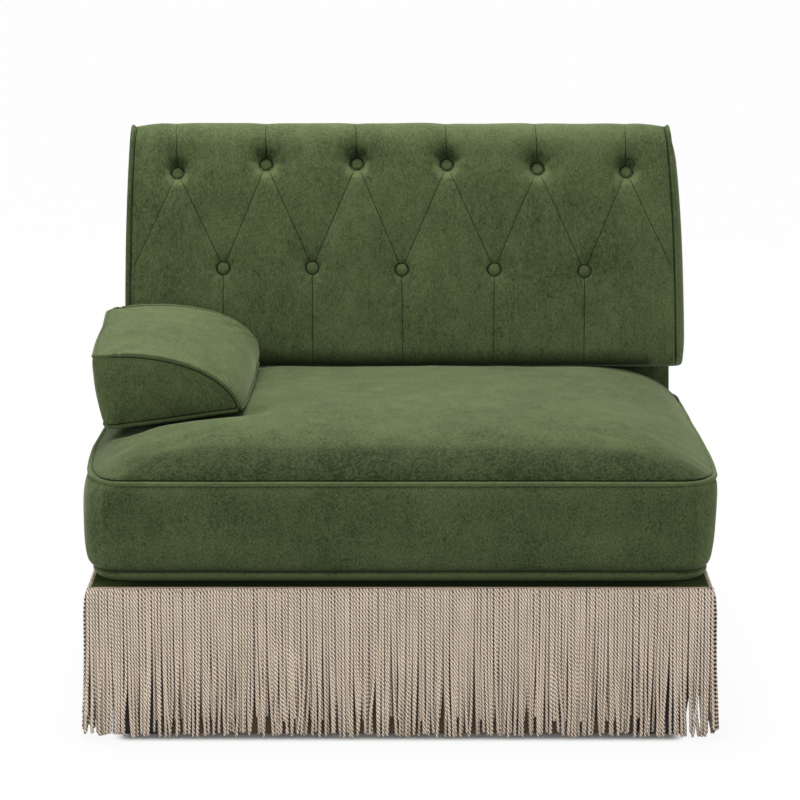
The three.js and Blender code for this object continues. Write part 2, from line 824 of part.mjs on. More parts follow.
function addSeatCushion() {
  const inset = seatFootInset;
  const foot = seatLevel(seatRest, -inset, -inset);
  for (const p of foot) p.y = Math.min(p.y, backLine(seatRest) - inset);
  const rise = upperSeam - lowerSeam;
  const levels = [foot];
  const round = inset * seatFootShare;
  levels.push(seatLevel(deckTop + seatLowerSeam * seatFootShare, -seatLowerInset - round, -round));
  levels.push(...seamLevels(lowerSeam, -seatLowerInset));
  for (const [heightShare, sideShare, frontShare] of seatSideShares) {
    const z = lowerSeam + rise * heightShare;
    levels.push(seatLevel(z, seatBulge * sideShare, seatFrontBulge * frontShare));
  }
  const [under, seam] = seamLevels(upperSeam, 0);
  levels.push(under, seam);
  const inner = seatOutline(seatHalfWidth, seatFront, seatRear, seatCorner, upperSeam);
  for (const share of crownShares) {
    const z = upperSeam + crownAt(share);
    levels.push(
      inner.map((p) => new THREE.Vector3(p.x * share, seatMiddle + (p.y - seatMiddle) * share, z)),
    );
  }
  levels.at(-1).centre = new THREE.Vector3(0, seatMiddle, upperSeam + seatCrown);
  add(couch, "seat_cushion", loft(levels), velvet);
}

// Outline of the bolster's section in its own plane, from the inner tip over the top
function armOutline(growth) {
  const points = armFrontShares.map(([a, b], i) => {
    const [bodyA, bodyB] = armBodyShares[i];
    const across = a + (bodyA - a) * growth;
    const up = b + (bodyB - b) * growth;
    return new THREE.Vector3(across * armWidth, 0, up * armHeight);
  });
  const arc = new THREE.CatmullRomCurve3(points);
  const outline = arc.getPoints(armArcSteps).map((p) => [p.x, p.z]);
  const flank = points.at(-1);
  for (const share of armFlankShares) outline.push([flank.x * share, flank.z * share]);
  for (const share of armSoleShares) outline.push([armWidth * share, 0]);
  return outline;
}

// How far the outer edge of the front face is rounded back
function armSetback(across, along) {
  const near = Math.max(0, 1 - Math.max(0, across) / armEdgeReach);
  return armEdgeRound * near ** 2 * Math.max(0, 1 - along / armEdgeRun);
}

// One ring of the bolster at a place along it, by the growth of its section, less an inset
function armRing(along, growth, inset) {
  const heart = [armWidth * armHeartShares[0], armHeight * armHeartShares[1]];
  const across = new THREE.Vector3(Math.cos(armRoll), 0, Math.sin(armRoll));
  const lengthwise = new THREE.Vector3(0, Math.cos(armPitch), Math.sin(armPitch));
  const up = new THREE.Vector3().crossVectors(across, lengthwise).normalize();
  const side = armSideInset - seatHalfWidth;
  const start = new THREE.Vector3(side, armFront, upperSeam + armRise);
  return armOutline(growth).map(([a, b]) => {
    const dx = a - heart[0];
    const dz = b - heart[1];
    const scale = -inset / Math.hypot(dx, dz);
    const p = start.clone().addScaledVector(across, a + dx * scale);
    p.addScaledVector(lengthwise, along + armSetback(a, along));
    if (b > 0) p.addScaledVector(up, b + dz * scale);
    p.z = Math.max(p.z, seatTop(p.x, p.y) + bolsterGap);
    return p;
  });
}

function addArmBolster() {
  const welt = weltRadius;
  const rings = [armRing(0, 0, welt), armRing(0, 0, -welt / 2)];
  for (const [share, growth] of armLengthShares) {
    rings.push(armRing(armLength * share, growth, 0));
  }
  rings.push(armRing(armLength, 1, -welt / 2), armRing(armLength, 1, welt));
  const crown = new THREE.Vector3(0, armFaceCrown, 0);
  rings[0].centre = centreOf(rings[0]).sub(crown);
  rings.at(-1).centre = centreOf(rings.at(-1)).add(crown);
  add(couch, "arm_bolster", loft(rings.map((ring) => ring.reverse())), velvet);
}

addRails();
addBorders();
addCornerBlocks();
addFeet();
addSprings();
addDeck();
addBackingBoard();
addDustCover();
addFringe();
addBackFrame();
addWebbing();
addBackPlates();
addBackPad();
addButtons();
addSeatCushion();
addArmBolster();

back.position.set(0, backFoot, railTop + contactGap);
back.rotation.x = -backRake;

// The origin lies on the floor under the middle of the whole
couch.updateMatrixWorld(true);
const bounds = new THREE.Box3().setFromObject(couch, true);
couch.position.y = -(bounds.min.y + bounds.max.y) / 2;
couch.updateMatrixWorld(true);

export default couch;
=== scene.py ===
import json
import math

import bpy
import numpy as np
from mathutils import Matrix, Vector, noise
from mathutils.bvhtree import BVHTree
from mathutils.kdtree import KDTree

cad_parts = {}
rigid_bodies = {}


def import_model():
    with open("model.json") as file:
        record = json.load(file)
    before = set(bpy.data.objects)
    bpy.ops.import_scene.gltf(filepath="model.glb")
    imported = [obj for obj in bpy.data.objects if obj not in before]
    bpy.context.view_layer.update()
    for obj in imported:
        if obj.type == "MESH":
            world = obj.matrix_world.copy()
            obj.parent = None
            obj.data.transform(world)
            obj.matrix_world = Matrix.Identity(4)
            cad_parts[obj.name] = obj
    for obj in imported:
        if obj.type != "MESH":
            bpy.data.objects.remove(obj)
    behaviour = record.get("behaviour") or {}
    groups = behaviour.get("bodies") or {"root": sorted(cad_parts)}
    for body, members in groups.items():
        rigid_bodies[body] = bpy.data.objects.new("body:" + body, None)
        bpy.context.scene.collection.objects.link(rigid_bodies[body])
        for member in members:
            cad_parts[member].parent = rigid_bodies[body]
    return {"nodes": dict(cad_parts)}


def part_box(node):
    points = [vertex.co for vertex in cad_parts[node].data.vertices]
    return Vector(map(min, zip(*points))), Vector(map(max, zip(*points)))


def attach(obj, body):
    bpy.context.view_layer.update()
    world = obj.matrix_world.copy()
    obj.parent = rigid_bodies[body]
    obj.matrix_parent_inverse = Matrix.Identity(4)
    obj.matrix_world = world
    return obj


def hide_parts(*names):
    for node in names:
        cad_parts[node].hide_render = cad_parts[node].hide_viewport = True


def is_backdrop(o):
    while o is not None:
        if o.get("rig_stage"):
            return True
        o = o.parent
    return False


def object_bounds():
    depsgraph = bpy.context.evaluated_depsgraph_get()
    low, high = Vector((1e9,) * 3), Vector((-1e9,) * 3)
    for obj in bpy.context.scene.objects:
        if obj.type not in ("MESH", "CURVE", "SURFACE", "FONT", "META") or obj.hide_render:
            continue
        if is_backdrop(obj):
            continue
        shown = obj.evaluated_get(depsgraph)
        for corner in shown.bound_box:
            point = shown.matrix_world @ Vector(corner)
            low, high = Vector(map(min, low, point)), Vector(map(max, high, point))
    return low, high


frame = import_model()
cad_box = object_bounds()
nodes = frame["nodes"]

# Camera: it stands well back from the couch, in line with its middle and a little above the back,
# and looks down with a long lens, as in a catalogue picture.
camera_distance = 5.125
camera_down = math.radians(12.31)
camera_target = Vector((0, -0.111, 0.476))
camera_lens = 137.7

bpy.ops.object.select_all(action="DESELECT")
camera_back = Vector((0, -math.cos(camera_down), math.sin(camera_down)))
bpy.ops.object.camera_add(
    location=camera_target + camera_distance * camera_back,
    rotation=(math.pi / 2 - camera_down, 0, 0),
)
camera = bpy.context.object
camera.data.lens = camera_lens
bpy.context.scene.camera = camera
bpy.context.scene.view_settings.view_transform = "Standard"


# Floor and light: a pale floor under a white surround, one wide soft lamp over the couch, a low one
# in front, and weaker ones around. The floor shows pale and keeps the shadow of the couch.
class Value:
    """One output of a shader node. Sums and products of values add Math nodes."""

    def __init__(self, finish, socket):
        self.finish = finish
        self.socket = socket

    def maths(self, operation, first, second):
        return self.finish.node("ShaderNodeMath", {"operation": operation}, {0: first, 1: second})

    def __add__(self, other):
        return self.maths("ADD", self, other)

    def __sub__(self, other):
        return self.maths("SUBTRACT", self, other)

    def __rsub__(self, other):
        return self.maths("SUBTRACT", other, self)

    def __mul__(self, other):
        return self.maths("MULTIPLY", self, other)

    def __pow__(self, other):
        return self.maths("POWER", self, other)

    def __abs__(self):
        return self.finish.node("ShaderNodeMath", {"operation": "ABSOLUTE"}, {0: self})

    def floor_part(self):
        return self.maths("FRACT", self, 0)

    def larger(self, other):
        return self.maths("MAXIMUM", self, other)

    __radd__ = __add__
    __rmul__ = __mul__


class Finish:
    """The nodes of a material or of the world, with one method that adds any node."""

    def __init__(self, owner):
        self.owner = owner
        owner.use_nodes = True
        self.tree = owner.node_tree

    def put(self, node, values):
        for key, value in values.items():
            if isinstance(value, Value):
                self.tree.links.new(value.socket, node.inputs[key])
            else:
                node.inputs[key].default_value = value

    def node(self, kind, settings, values, output=0):
        made = self.tree.nodes.new(kind)
        for name, setting in settings.items():
            setattr(made, name, setting)
        self.put(made, values)
        return Value(self, made.outputs[output])

    def shader(self, values):
        self.put(self.tree.nodes["Principled BSDF"], values)

    def place(self):
        return self.node("ShaderNodeTexCoord", {}, {}, "Object")

    def stored(self, name, output="Fac"):
        return self.node("ShaderNodeAttribute", {"attribute_name": name}, {}, output)

    def parts(self, vector):
        split = self.tree.nodes.new("ShaderNodeSeparateXYZ")
        self.put(split, {0: vector})
        return [Value(self, socket) for socket in split.outputs]

    def seen(self):
        """1 for the camera's rays, also by way of glossy and clear surfaces, and 0 for others."""
        kinds = ("Is Camera Ray", "Is Glossy Ray", "Is Transmission Ray")
        direct, mirrored, through = [self.node("ShaderNodeLightPath", {}, {}, kind) for kind in kinds]
        return direct + mirrored + through

    def noise(self, place, scale, detail, roughness=0.55):
        values = {"Vector": place, "Scale": scale, "Detail": detail, "Roughness": roughness}
        return self.node("ShaderNodeTexNoise", {}, values)

    def stretch(self, place, factors):
        return self.node("ShaderNodeVectorMath", {"operation": "MULTIPLY"}, {0: place, 1: factors})

    def blend(self, share, low, high):
        settings = {"data_type": "RGBA"}
        return self.node("ShaderNodeMix", settings, {0: share, 6: low, 7: high}, 2)

    def steps(self, value, low, high):
        settings = {"interpolation_type": "SMOOTHSTEP"}
        return self.node("ShaderNodeMapRange", settings, {0: value, 1: low, 2: high})

    def bump(self, height, strength, distance):
        values = {"Height": height, "Strength": strength, "Distance": distance}
        return self.node("ShaderNodeBump", {}, values)


def material(name):
    return Finish(bpy.data.materials.new(name))


def colour(red, green, blue):
    """A colour given as on a paint card, 0 to 255, in the linear values that shaders use."""
    shares = np.array([red, green, blue]) / 255
    linear = np.where(shares < 0.04045, shares / 12.92, ((shares + 0.055) / 1.055) ** 2.4)
    return (*linear, 1)


floor_size = 30
couch_half = (0.43, 0.405, 0)
couch_middle = (0, 0.05, 0)
rim_reach = 0.03
shadow_reach = 0.26
near_glow = 0.05
rim_glow = 0.92
far_glow = 0.985

bpy.ops.mesh.primitive_plane_add(size=floor_size)
floor = bpy.context.object
floor.name = "floor"
floor_finish = material("pale_floor")
floor.data.materials.append(floor_finish.owner)
floor_finish.shader({"Base Color": colour(240, 240, 240), "Roughness": 0.9})
place = floor_finish.place()
for operation, values in (
    ("ADD", {1: couch_middle}),
    ("ABSOLUTE", {}),
    ("SUBTRACT", {1: couch_half}),
    ("MAXIMUM", {1: (0, 0, 0)}),
):
    place = floor_finish.node("ShaderNodeVectorMath", {"operation": operation}, {0: place, **values})
away = floor_finish.node("ShaderNodeVectorMath", {"operation": "LENGTH"}, {0: place}, "Value")
floor_glow = near_glow + floor_finish.steps(away, 0, rim_reach) * (rim_glow - near_glow)
floor_glow = floor_glow + floor_finish.steps(away, rim_reach, shadow_reach) * (far_glow - rim_glow)
glow = floor_finish.node("ShaderNodeEmission", {}, {"Color": (1, 1, 1, 1), "Strength": 1})
lit = Value(floor_finish, floor_finish.tree.nodes["Principled BSDF"].outputs[0])
share = floor_finish.seen() * floor_glow
mixed = floor_finish.node("ShaderNodeMixShader", {}, {0: share, 1: lit, 2: glow})
floor_finish.put(floor_finish.tree.nodes["Material Output"], {"Surface": mixed})
floor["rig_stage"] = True

surround = Finish(bpy.data.worlds.new("studio"))
bpy.context.scene.world = surround.owner
studio_fill = 0.20
strength = surround.seen() * (1 - studio_fill) + studio_fill
surround.put(surround.tree.nodes["Background"], {"Color": (1, 1, 1, 1), "Strength": strength})

lamps = [
    ("lamp_over", (-0.25, 0.35, 3.2), 2.2, 121),
    ("lamp_front", (0.0, -4.6, 0.6), 3.2, 60),
    ("lamp_left", (-3.2, -1.6, 1.5), 1.8, 26),
    ("lamp_right", (3.2, -1.4, 1.7), 1.8, 12),
    ("lamp_behind", (0.3, 3.2, 2.6), 2.2, 20),
]
for name, place, width, power in lamps:
    bpy.ops.object.light_add(type="AREA", location=place)
    lamp = bpy.context.object
    lamp.name = name
    lamp.data.size = width
    lamp.data.energy = power
    aim = Vector((0, 0, 0.45)) - Vector(place)
    lamp.rotation_euler = aim.to_track_quat("-Z", "Y").to_euler()


# Base frame, back frame and corner blocks: sawn softwood, planed and glued. The boards are cut
# along the grain, so it runs along the length of each.
def cover(piece, finish):
    piece.data.materials.clear()
    piece.data.materials.append(finish.owner)


def clothe(finish, names):
    """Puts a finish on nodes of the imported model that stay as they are."""
    for name in names:
        cover(nodes[name], finish)


def timber(name, grain):
    finish = material(name)
    place = finish.place()
    fibres = finish.noise(finish.stretch(place, grain), 60, 6, 0.6)
    rings = finish.noise(finish.stretch(place, grain), 14, 2)
    share = finish.steps(fibres * 0.45 + rings * 0.55, 0.34, 0.66)
    wood = finish.blend(share, colour(152, 112, 68), colour(206, 168, 118))
    raised = finish.bump(fibres, 0.35, 0.0008)
    finish.shader({"Base Color": wood, "Roughness": 0.72 - share * 0.12, "Normal": raised})
    return finish


ends = [f"corner_block_{end}_{side}" for end in ("front", "back") for side in ("left", "right")]
across = ["base_front_rail", "base_back_rail", "base_spring_rail", "back_lower_rail", "back_top_rail"]
clothe(timber("timber_across", (0.06, 1, 1)), across)
deep = ["base_left_rail", "base_right_rail", "base_stretcher"]
clothe(timber("timber_deep", (1, 0.06, 1)), deep)
upright = ["back_left_post", "back_right_post", *ends]
clothe(timber("timber_upright", (1, 1, 0.06)), upright)

# Feet: square blocks of beech that taper on the outer side, lacquered black with a low gloss, each
# screwed up into a corner block.
feet = [f"foot_{end}_{side}" for end in ("front", "back") for side in ("left", "right")]
lacquer = material("black_lacquer")
place = lacquer.place()
brushing = lacquer.noise(lacquer.stretch(place, (1, 1, 0.1)), 90, 5)
scuffs = lacquer.steps(lacquer.noise(place, 34, 6, 0.7), 0.56, 0.74)
black = lacquer.blend(scuffs * 0.5, colour(26, 24, 25), colour(52, 48, 46))
lacquer.shader({
    "Base Color": black,
    "Roughness": 0.36 + brushing * 0.2 + scuffs * 0.2,
    "Normal": lacquer.bump(brushing, 0.12, 0.0006),
})
clothe(lacquer, feet)

# Springs and plates: sinuous springs of hard drawn wire, clipped to the rails, and flat plates that
# bolt the back frame to the base. Both are bright steel, a little dull with handling.
steel = material("dull_steel")
place = steel.place()
handling = steel.noise(place, 70, 6, 0.65)
steel.shader({
    "Base Color": steel.blend(handling, colour(120, 121, 122), colour(186, 187, 188)),
    "Metallic": 1,
    "Roughness": 0.28 + handling * 0.3,
})
springs = [f"seat_spring_{i}" for i in range(1, 5)]
clothe(steel, [*springs, "back_plate_left", "back_plate_right"])

# Dust cover: black spun cloth with a fine pressed dot pattern. It is stapled to the underside of the
# rails, all round, and keeps the dust off the springs.
dust_cloth = material("black_spun_cloth")
place = dust_cloth.place()
dots = dust_cloth.node("ShaderNodeTexVoronoi", {}, {"Vector": place, "Scale": 420})
pressed = dust_cloth.steps(dots, 0.1, 0.35)
spun = dust_cloth.blend(pressed, colour(22, 22, 24), colour(44, 44, 46))
dots_raised = dust_cloth.bump(pressed, 0.4, 0.0004)
dust_cloth.shader({"Base Color": spun, "Roughness": 0.9, "Normal": dots_raised})
clothe(dust_cloth, ["dust_cover"])

# Webbing: jute straps, plain woven in two ply yarn. They are pulled tight over the front of the back
# frame and tacked to its posts and rails.
jute = material("woven_jute")
place = jute.place()
weave_scale = {"Vector": place, "Scale": 130, "Distortion": 0.6, "Detail": 2}
warp = jute.node("ShaderNodeTexWave", {"bands_direction": "X"}, weave_scale, 1)
weft = jute.node("ShaderNodeTexWave", {"bands_direction": "Z"}, weave_scale, 1)
woven = warp * 0.5 + weft * 0.5
sacking = jute.blend(woven, colour(116, 92, 58), colour(190, 162, 116))
jute.shader({"Base Color": sacking, "Roughness": 0.95, "Normal": jute.bump(woven, 0.6, 0.001)})
clothe(jute, ["back_webbing"])


# Velvet panels of the base and the back: the cover is pulled over the rails and the back frame, with
# a thin layer of wadding that rounds every edge. The deck under the seat is painted in dark shade, paler
# at its ends.
welt_line = 0.0047
border_sides = ("front", "back", "left", "right")
border_rounding = 0.0012
cover_rounding = 0.0015
deck_rounding = 0.0028
deck_widening = 1.009


def welt_shade_line(finish):
    """A thin line of painted shade where the velvet dips beside a welt."""
    margin = finish.stored("margin")
    return 1 - finish.steps(abs(margin - welt_line), 0.0003, 0.0018)


def edge_shade(finish):
    """Share of the velvet painted dark as shade where it turns into a seam, beside a welt or under the
    bolster.
    """
    return finish.stored("painted_crease_shade").larger(welt_shade_line(finish))


def velvet(name, nap, sewn=edge_shade, painted_lift=0):
    """Short cotton pile: marked where it was brushed or pressed, and paler at a glancing angle. Stored
    painted light, painted shade and painted seam shade change its tone.
    """
    finish = material(name)
    place = finish.place()
    brushed = finish.stretch(place, nap)
    clouds = finish.noise(place, 7, 3, 0.5)
    marks = finish.noise(brushed, 44, 5, 0.62)
    specks = finish.noise(brushed, 210, 3, 0.6)
    pile = finish.noise(brushed, 560, 2, 0.5)
    patches = finish.steps(clouds, 0.38, 0.62)
    pressed = finish.steps(specks, 0.5, 0.66) * patches
    tone = 0.5 + (clouds - 0.5) * 0.6 + (marks - 0.5) * 0.6 + (specks - 0.5) * 0.9 + (pile - 0.5) * 1.3
    # Painted shade and painted light, stored on each piece, darken or lighten the tone where less or more
    # light falls; painted_lift lightens a whole copy.
    painted_shade = finish.stored("painted_shade")
    painted_shade = finish.steps(painted_shade + (specks - 0.5) * 0.9 + (marks - 0.5) * 0.5, 0.3, 0.8) * painted_shade
    painted_light = finish.stored("painted_light")
    tone = tone + painted_light * 0.5 - painted_shade * 0.3 + (painted_lift - pressed * 0.14)
    green = finish.blend(tone, colour(38, 49, 25), colour(97, 110, 72))
    # Painted shade: seams, creases and contact lines blend towards a near black green.
    seam = sewn(finish)
    green = finish.blend(seam * 0.88, green, colour(13, 21, 7))
    height = pile * 0.5 + specks * 0.5 + marks * 0.4 - seam * 1.6
    finish.shader({
        "Base Color": green,
        "Roughness": 0.92,
        "Specular IOR Level": 0.15,
        "Sheen Weight": 0.34,
        "Sheen Roughness": 0.32,
        "Sheen Tint": colour(206, 214, 178),
        "Normal": finish.bump(height, 0.34, 0.0011),
    })
    return finish


def only(*pieces):
    """Selects these pieces and nothing else."""
    bpy.ops.object.select_all(action="DESELECT")
    for piece in pieces:
        piece.select_set(True)
    bpy.context.view_layer.objects.active = pieces[0]


def softened(name, node, radius):
    """A copy of a packed panel with its edges rounded by wadding."""
    only(nodes[node])
    bpy.ops.object.duplicate()
    piece = bpy.context.object
    piece.name = name
    for key in [k for k in piece.keys() if k.startswith("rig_")]:
        del piece[key]
    bpy.ops.object.parent_clear(type="CLEAR_KEEP_TRANSFORM")
    bpy.ops.object.mode_set(mode="EDIT")
    bpy.ops.mesh.select_all(action="SELECT")
    bpy.ops.mesh.remove_doubles(threshold=0.00001)
    bpy.ops.mesh.dissolve_limited(angle_limit=math.radians(1))
    bpy.ops.object.mode_set(mode="OBJECT")
    rounding = piece.modifiers.new("rounding", "BEVEL")
    rounding.width = radius
    rounding.segments = 4
    rounding.limit_method = "ANGLE"
    bpy.ops.object.modifier_apply(modifier="rounding")
    bpy.ops.object.shade_smooth_by_angle(angle=math.radians(35))
    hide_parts(node)
    return piece


def finished(piece, finish, body):
    """Gives a new piece its finish, its slot and the body that it rides on."""
    cover(piece, finish)
    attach(piece, body)


panel_velvet = velvet("velvet_panels", (1, 1, 0.45))
# Painted light: the welts and buttons use the same velvet made paler, as they catch more light from above.
welt_velvet_painted_light = velvet("velvet_welts_painted_light", (1, 1, 1), edge_shade, 0.16)
# Painted shade: the deck is coloured near black green as the shade under the seat cushion, and blends to
# plain velvet green towards its ends, where less shade falls.
deck_shade = material("deck_painted_shade")
place = deck_shade.place()
threads = deck_shade.noise(place, 300, 4)
less_shaded_ends = deck_shade.steps(abs(deck_shade.parts(place)[0]), 0.40, 0.47)
deck_shade_colour = deck_shade.blend(threads, colour(8, 16, 3), colour(25, 39, 15))
deck_shade.shader({
    "Base Color": deck_shade.blend(less_shaded_ends, deck_shade_colour, colour(52, 66, 33)),
    "Roughness": 0.95,
    "Specular IOR Level": 0.1,
    "Normal": deck_shade.bump(threads, 0.2, 0.0005),
})
deck = softened("deck_cloth", "deck_pad", deck_rounding)
deck.scale = (deck_widening, 1, 1)
bpy.ops.object.transform_apply()
finished(deck, deck_shade, "root")
panels = [(f"{side}_border_cloth", f"border_{side}", border_rounding) for side in border_sides]
panels += [(f"{side}_back_cloth", f"{side}_back_cover", cover_rounding) for side in ("inside", "outside")]
panels += [(f"{side}_back_cloth", f"back_{side}_cover", cover_rounding) for side in ("left", "right")]
for name, node, radius in panels:
    finished(softened(name, node, radius), panel_velvet, "root")


# Backing board: brown hardboard that hangs behind the front fringe between the feet, nearly to the
# floor and close to the cords, so that the space under the couch stays dark.
board_gap = 0.004
board_front = -0.450
board_rounding = 0.0008


def points_of(piece):
    """The places of a mesh's vertices, one row each."""
    places = np.zeros(3 * len(piece.data.vertices), np.float32)
    piece.data.vertices.foreach_get("co", places)
    return places.reshape(-1, 3).astype(float)


def move_points(piece, places):
    piece.data.vertices.foreach_set("co", np.asarray(places, np.float32).ravel())
    piece.data.update()


hardboard = material("brown_hardboard")
place = hardboard.place()
chips = hardboard.noise(place, 260, 5, 0.7)
stains = hardboard.noise(place, 12, 4)
brown = hardboard.blend(chips * 0.5 + stains * 0.5, colour(78, 63, 49), colour(128, 108, 86))
raised = hardboard.bump(chips, 0.2, 0.0005)
hardboard.shader({"Base Color": brown, "Roughness": 0.82, "Normal": raised})

board = softened("backing_board", "fringe_backing_board", board_rounding)
spots = points_of(board)
board_middle = (spots[:, 2].min() + spots[:, 2].max()) / 2
foot = spots[:, 2] < board_middle
spots[:, 2] += np.where(foot, board_gap - spots[:, 2].min(), 0)
spots[:, 1] += np.where(foot, board_front - spots[:, 1].min(), 0)
move_points(board, spots)
finished(board, hardboard, "root")


# Back pad: a foam panel covered in velvet whose face rolls over the top edge. The face is sewn in
# diamonds and drawn in by buttons, and the side strips join it at a welt.
def turned_out(piece):
    """Makes all faces of a piece look outwards, and applies its transform."""
    only(piece)
    bpy.ops.object.mode_set(mode="EDIT")
    bpy.ops.mesh.select_all(action="SELECT")
    bpy.ops.mesh.normals_make_consistent(inside=False)
    bpy.ops.object.mode_set(mode="OBJECT")
    bpy.ops.object.transform_apply()


def block(name, columns, rows, layers):
    """A block of quads two units wide: two grids, joined round their edges by layers of quads."""
    ends = []
    for level in (-1, 1):
        bpy.ops.mesh.primitive_grid_add(
            x_subdivisions=columns, y_subdivisions=rows, size=2, location=(0, 0, level)
        )
        ends.append(bpy.context.object)
    only(*ends)
    bpy.ops.object.join()
    piece = bpy.context.object
    piece.name = name
    bpy.ops.object.mode_set(mode="EDIT")
    bpy.ops.mesh.select_all(action="DESELECT")
    bpy.ops.mesh.select_mode(type="EDGE")
    bpy.ops.mesh.select_non_manifold(extend=False)
    bpy.ops.mesh.bridge_edge_loops(number_cuts=layers - 1)
    bpy.ops.object.mode_set(mode="OBJECT")
    turned_out(piece)
    return piece


def steps_of(piece, columns, rows, layers):
    """Column, row and layer of each vertex of a block, counted from its low corner."""
    return [
        np.rint((axis + 1) / 2 * count).astype(int)
        for axis, count in zip(points_of(piece).T, (columns, rows, layers))
    ]


def keep(piece, name, values):
    """Stores one number or one vector for each vertex."""
    kind, field = ("FLOAT", "value") if np.ndim(values) == 1 else ("FLOAT_VECTOR", "vector")
    stored = piece.data.attributes.new(name, kind, "POINT")
    stored.data.foreach_set(field, np.asarray(values, np.float32).ravel())


def kept(piece, name):
    places = np.zeros(3 * len(piece.data.vertices), np.float32)
    piece.data.attributes[name].data.foreach_get("vector", places)
    return places.reshape(-1, 3).astype(float)


def normals_of(piece):
    normals = np.zeros(3 * len(piece.data.vertices), np.float32)
    piece.data.vertices.foreach_get("normal", normals)
    return normals.reshape(-1, 3)


def smoothed(piece):
    """Drops the stored places of a cushion, whose shape is done, and shades it smooth."""
    piece.data.attributes.remove(piece.data.attributes["place"])
    only(piece)
    bpy.ops.object.shade_smooth()


def subdivide(piece, levels):
    only(piece)
    smoothing = piece.modifiers.new("smoothing", "SUBSURF")
    smoothing.levels = levels
    smoothing.render_levels = levels
    bpy.ops.object.modifier_apply(modifier="smoothing")


def stuff(piece, sewn, pressure, most):
    """Fills a cushion: the cloth swells under pressure, held where it is sewn, by no more than most."""
    only(piece)
    start = points_of(piece)
    seams = piece.vertex_groups.new(name="sewn")
    seams.add([int(i) for i in np.flatnonzero(sewn)], 1, "REPLACE")
    cloth = piece.modifiers.new("cloth", "CLOTH")
    cloth.settings.vertex_group_mass = "sewn"
    cloth.settings.use_pressure = True
    cloth.settings.uniform_pressure_force = pressure
    cloth.settings.effector_weights.gravity = 0
    cloth.settings.quality = 5
    cloth.point_cache.frame_start = 1
    cloth.point_cache.frame_end = 20
    for step in range(1, 21):
        bpy.context.scene.frame_set(step)
    bpy.ops.object.modifier_apply(modifier="cloth")
    bpy.context.scene.frame_set(1)
    moves = points_of(piece) - start
    lengths = np.linalg.norm(moves, axis=1, keepdims=True)
    moves *= most * np.tanh(lengths / most) / np.maximum(lengths, 1e-9)
    move_points(piece, start + moves)
    piece.vertex_groups.clear()


def ramp(value, run):
    """A share that rises from 0 to 1 over a run, and stays there."""
    return np.clip(value / run, 0, 1)


def bell(value, width):
    return np.exp(-((value / width) ** 2))


def uneven(places, size, height, seed):
    """Gentle unevenness of stuffing, about as wide as size and as high as height."""
    offset = Vector((seed, 2 * seed, 3 * seed))
    return height * np.array([noise.noise(Vector(p) / size + offset) for p in places])


def welt(name, line, radius, closed):
    """A round cord along a line of points."""
    curve = bpy.data.curves.new(name, "CURVE")
    curve.dimensions = "3D"
    curve.bevel_depth = radius
    curve.bevel_resolution = 3
    curve.use_fill_caps = not closed
    spline = curve.splines.new("POLY")
    spline.points.add(len(line) - 1)
    spline.points.foreach_set("co", np.column_stack([line, np.ones(len(line))]).ravel())
    spline.use_cyclic_u = closed
    piece = bpy.data.objects.new(name, curve)
    bpy.context.scene.collection.objects.link(piece)
    only(piece)
    bpy.ops.object.convert(target="MESH")
    piece = bpy.context.object
    bpy.ops.object.shade_smooth()
    return piece


rake = math.radians(12)
rake_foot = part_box("inside_back_cover")[0]
rake_back = np.array([0, math.cos(rake), -math.sin(rake)])
rake_up = np.array([0, math.sin(rake), math.cos(rake)])


def on_rake(x, depth, height):
    """Places in the leaning frame of the back: across, back from its front, and up along it."""
    foot = np.array([0, rake_foot.y, rake_foot.z])
    return foot + np.outer(x, [1, 0, 0]) + np.outer(depth, rake_back) + np.outer(height, rake_up)


pad_bottom = 0.2195
pad_top = 0.650
pad_foot_depth = 0.155
pad_head_depth = 0.132
pad_half_width = 0.484
pad_narrowing = 0.013
pad_crown = 0.014
pad_side_bulge = 0.013
pad_foot_roll = 0.018
pad_head_roll = 0.046
pad_end_drop = 0.006
pad_head_flat = 0.093
pad_flat_run = pad_head_flat - 0.012
pad_rear = 0.0003
tuft_pitch = 0.1585
upper_tuft = 0.577
upper_tuft_drop = 0.0165
lower_tuft = 0.390
tuft_row_gap = upper_tuft - lower_tuft
upper_dimple = 0.021
lower_dimple = 0.008
dimple_spread = 0.022
dimple_rise = 0.0065
fold_hollow = 0.0012
fold_slit = 0.0014
fold_width = 0.0022
fold_line = 0.0011
fold_reach = 0.013
tufted_steps = 5.4
button_radius = 0.0112
pad_sag = 0.0055
# Painted light and painted shade on the face of the pad: the top roll and a crescent below each upper
# button are painted lighter, and the hollow above each one darker.
head_painted_light = 0.22
crescent_highlight = {"strength": 2.0, "reach": 0.0165, "width": 0.0065}
hollow_shade = {"strength": 1.7, "reach": 0.017, "width": 0.014}
cells = 7
half_pitch = tuft_pitch / 2
pad_columns = 2 * (6 * cells + 1)
pad_rows = [2, 6, cells, 2, 5, 4]
pad_layers = 6


def upper_line(x):
    """Height of the upper row of buttons, which droops towards the sides."""
    return upper_tuft - upper_tuft_drop * np.minimum(np.abs(x) / (2.5 * tuft_pitch), 1.1) ** 3


upper_tufts = [((i - 2.5) * tuft_pitch, float(upper_line((i - 2.5) * tuft_pitch))) for i in range(6)]
lower_tufts = [((i - 2) * tuft_pitch, lower_tuft) for i in range(5)]
upper_strays = [
    (0.0012, -0.0007), (-0.0008, 0.0013), (0.0012, -0.0008),
    (0.0011, -0.0026), (0.0023, -0.0066), (0, 0.0025),
]
lower_strays = [(0.0020, 0.0012), (0, 0.0020), (-0.0014, -0.0014), (0.0031, -0.0011), (0.0034, -0.0042)]
folds = [(x, height, x, pad_top + 1) for x, height in upper_tufts]
folds += [(x, height, x + side * half_pitch, lower_tuft) for x, height in upper_tufts for side in (-1, 1)]
folds += [(x, height, x, pad_bottom - 1) for x, height in lower_tufts]


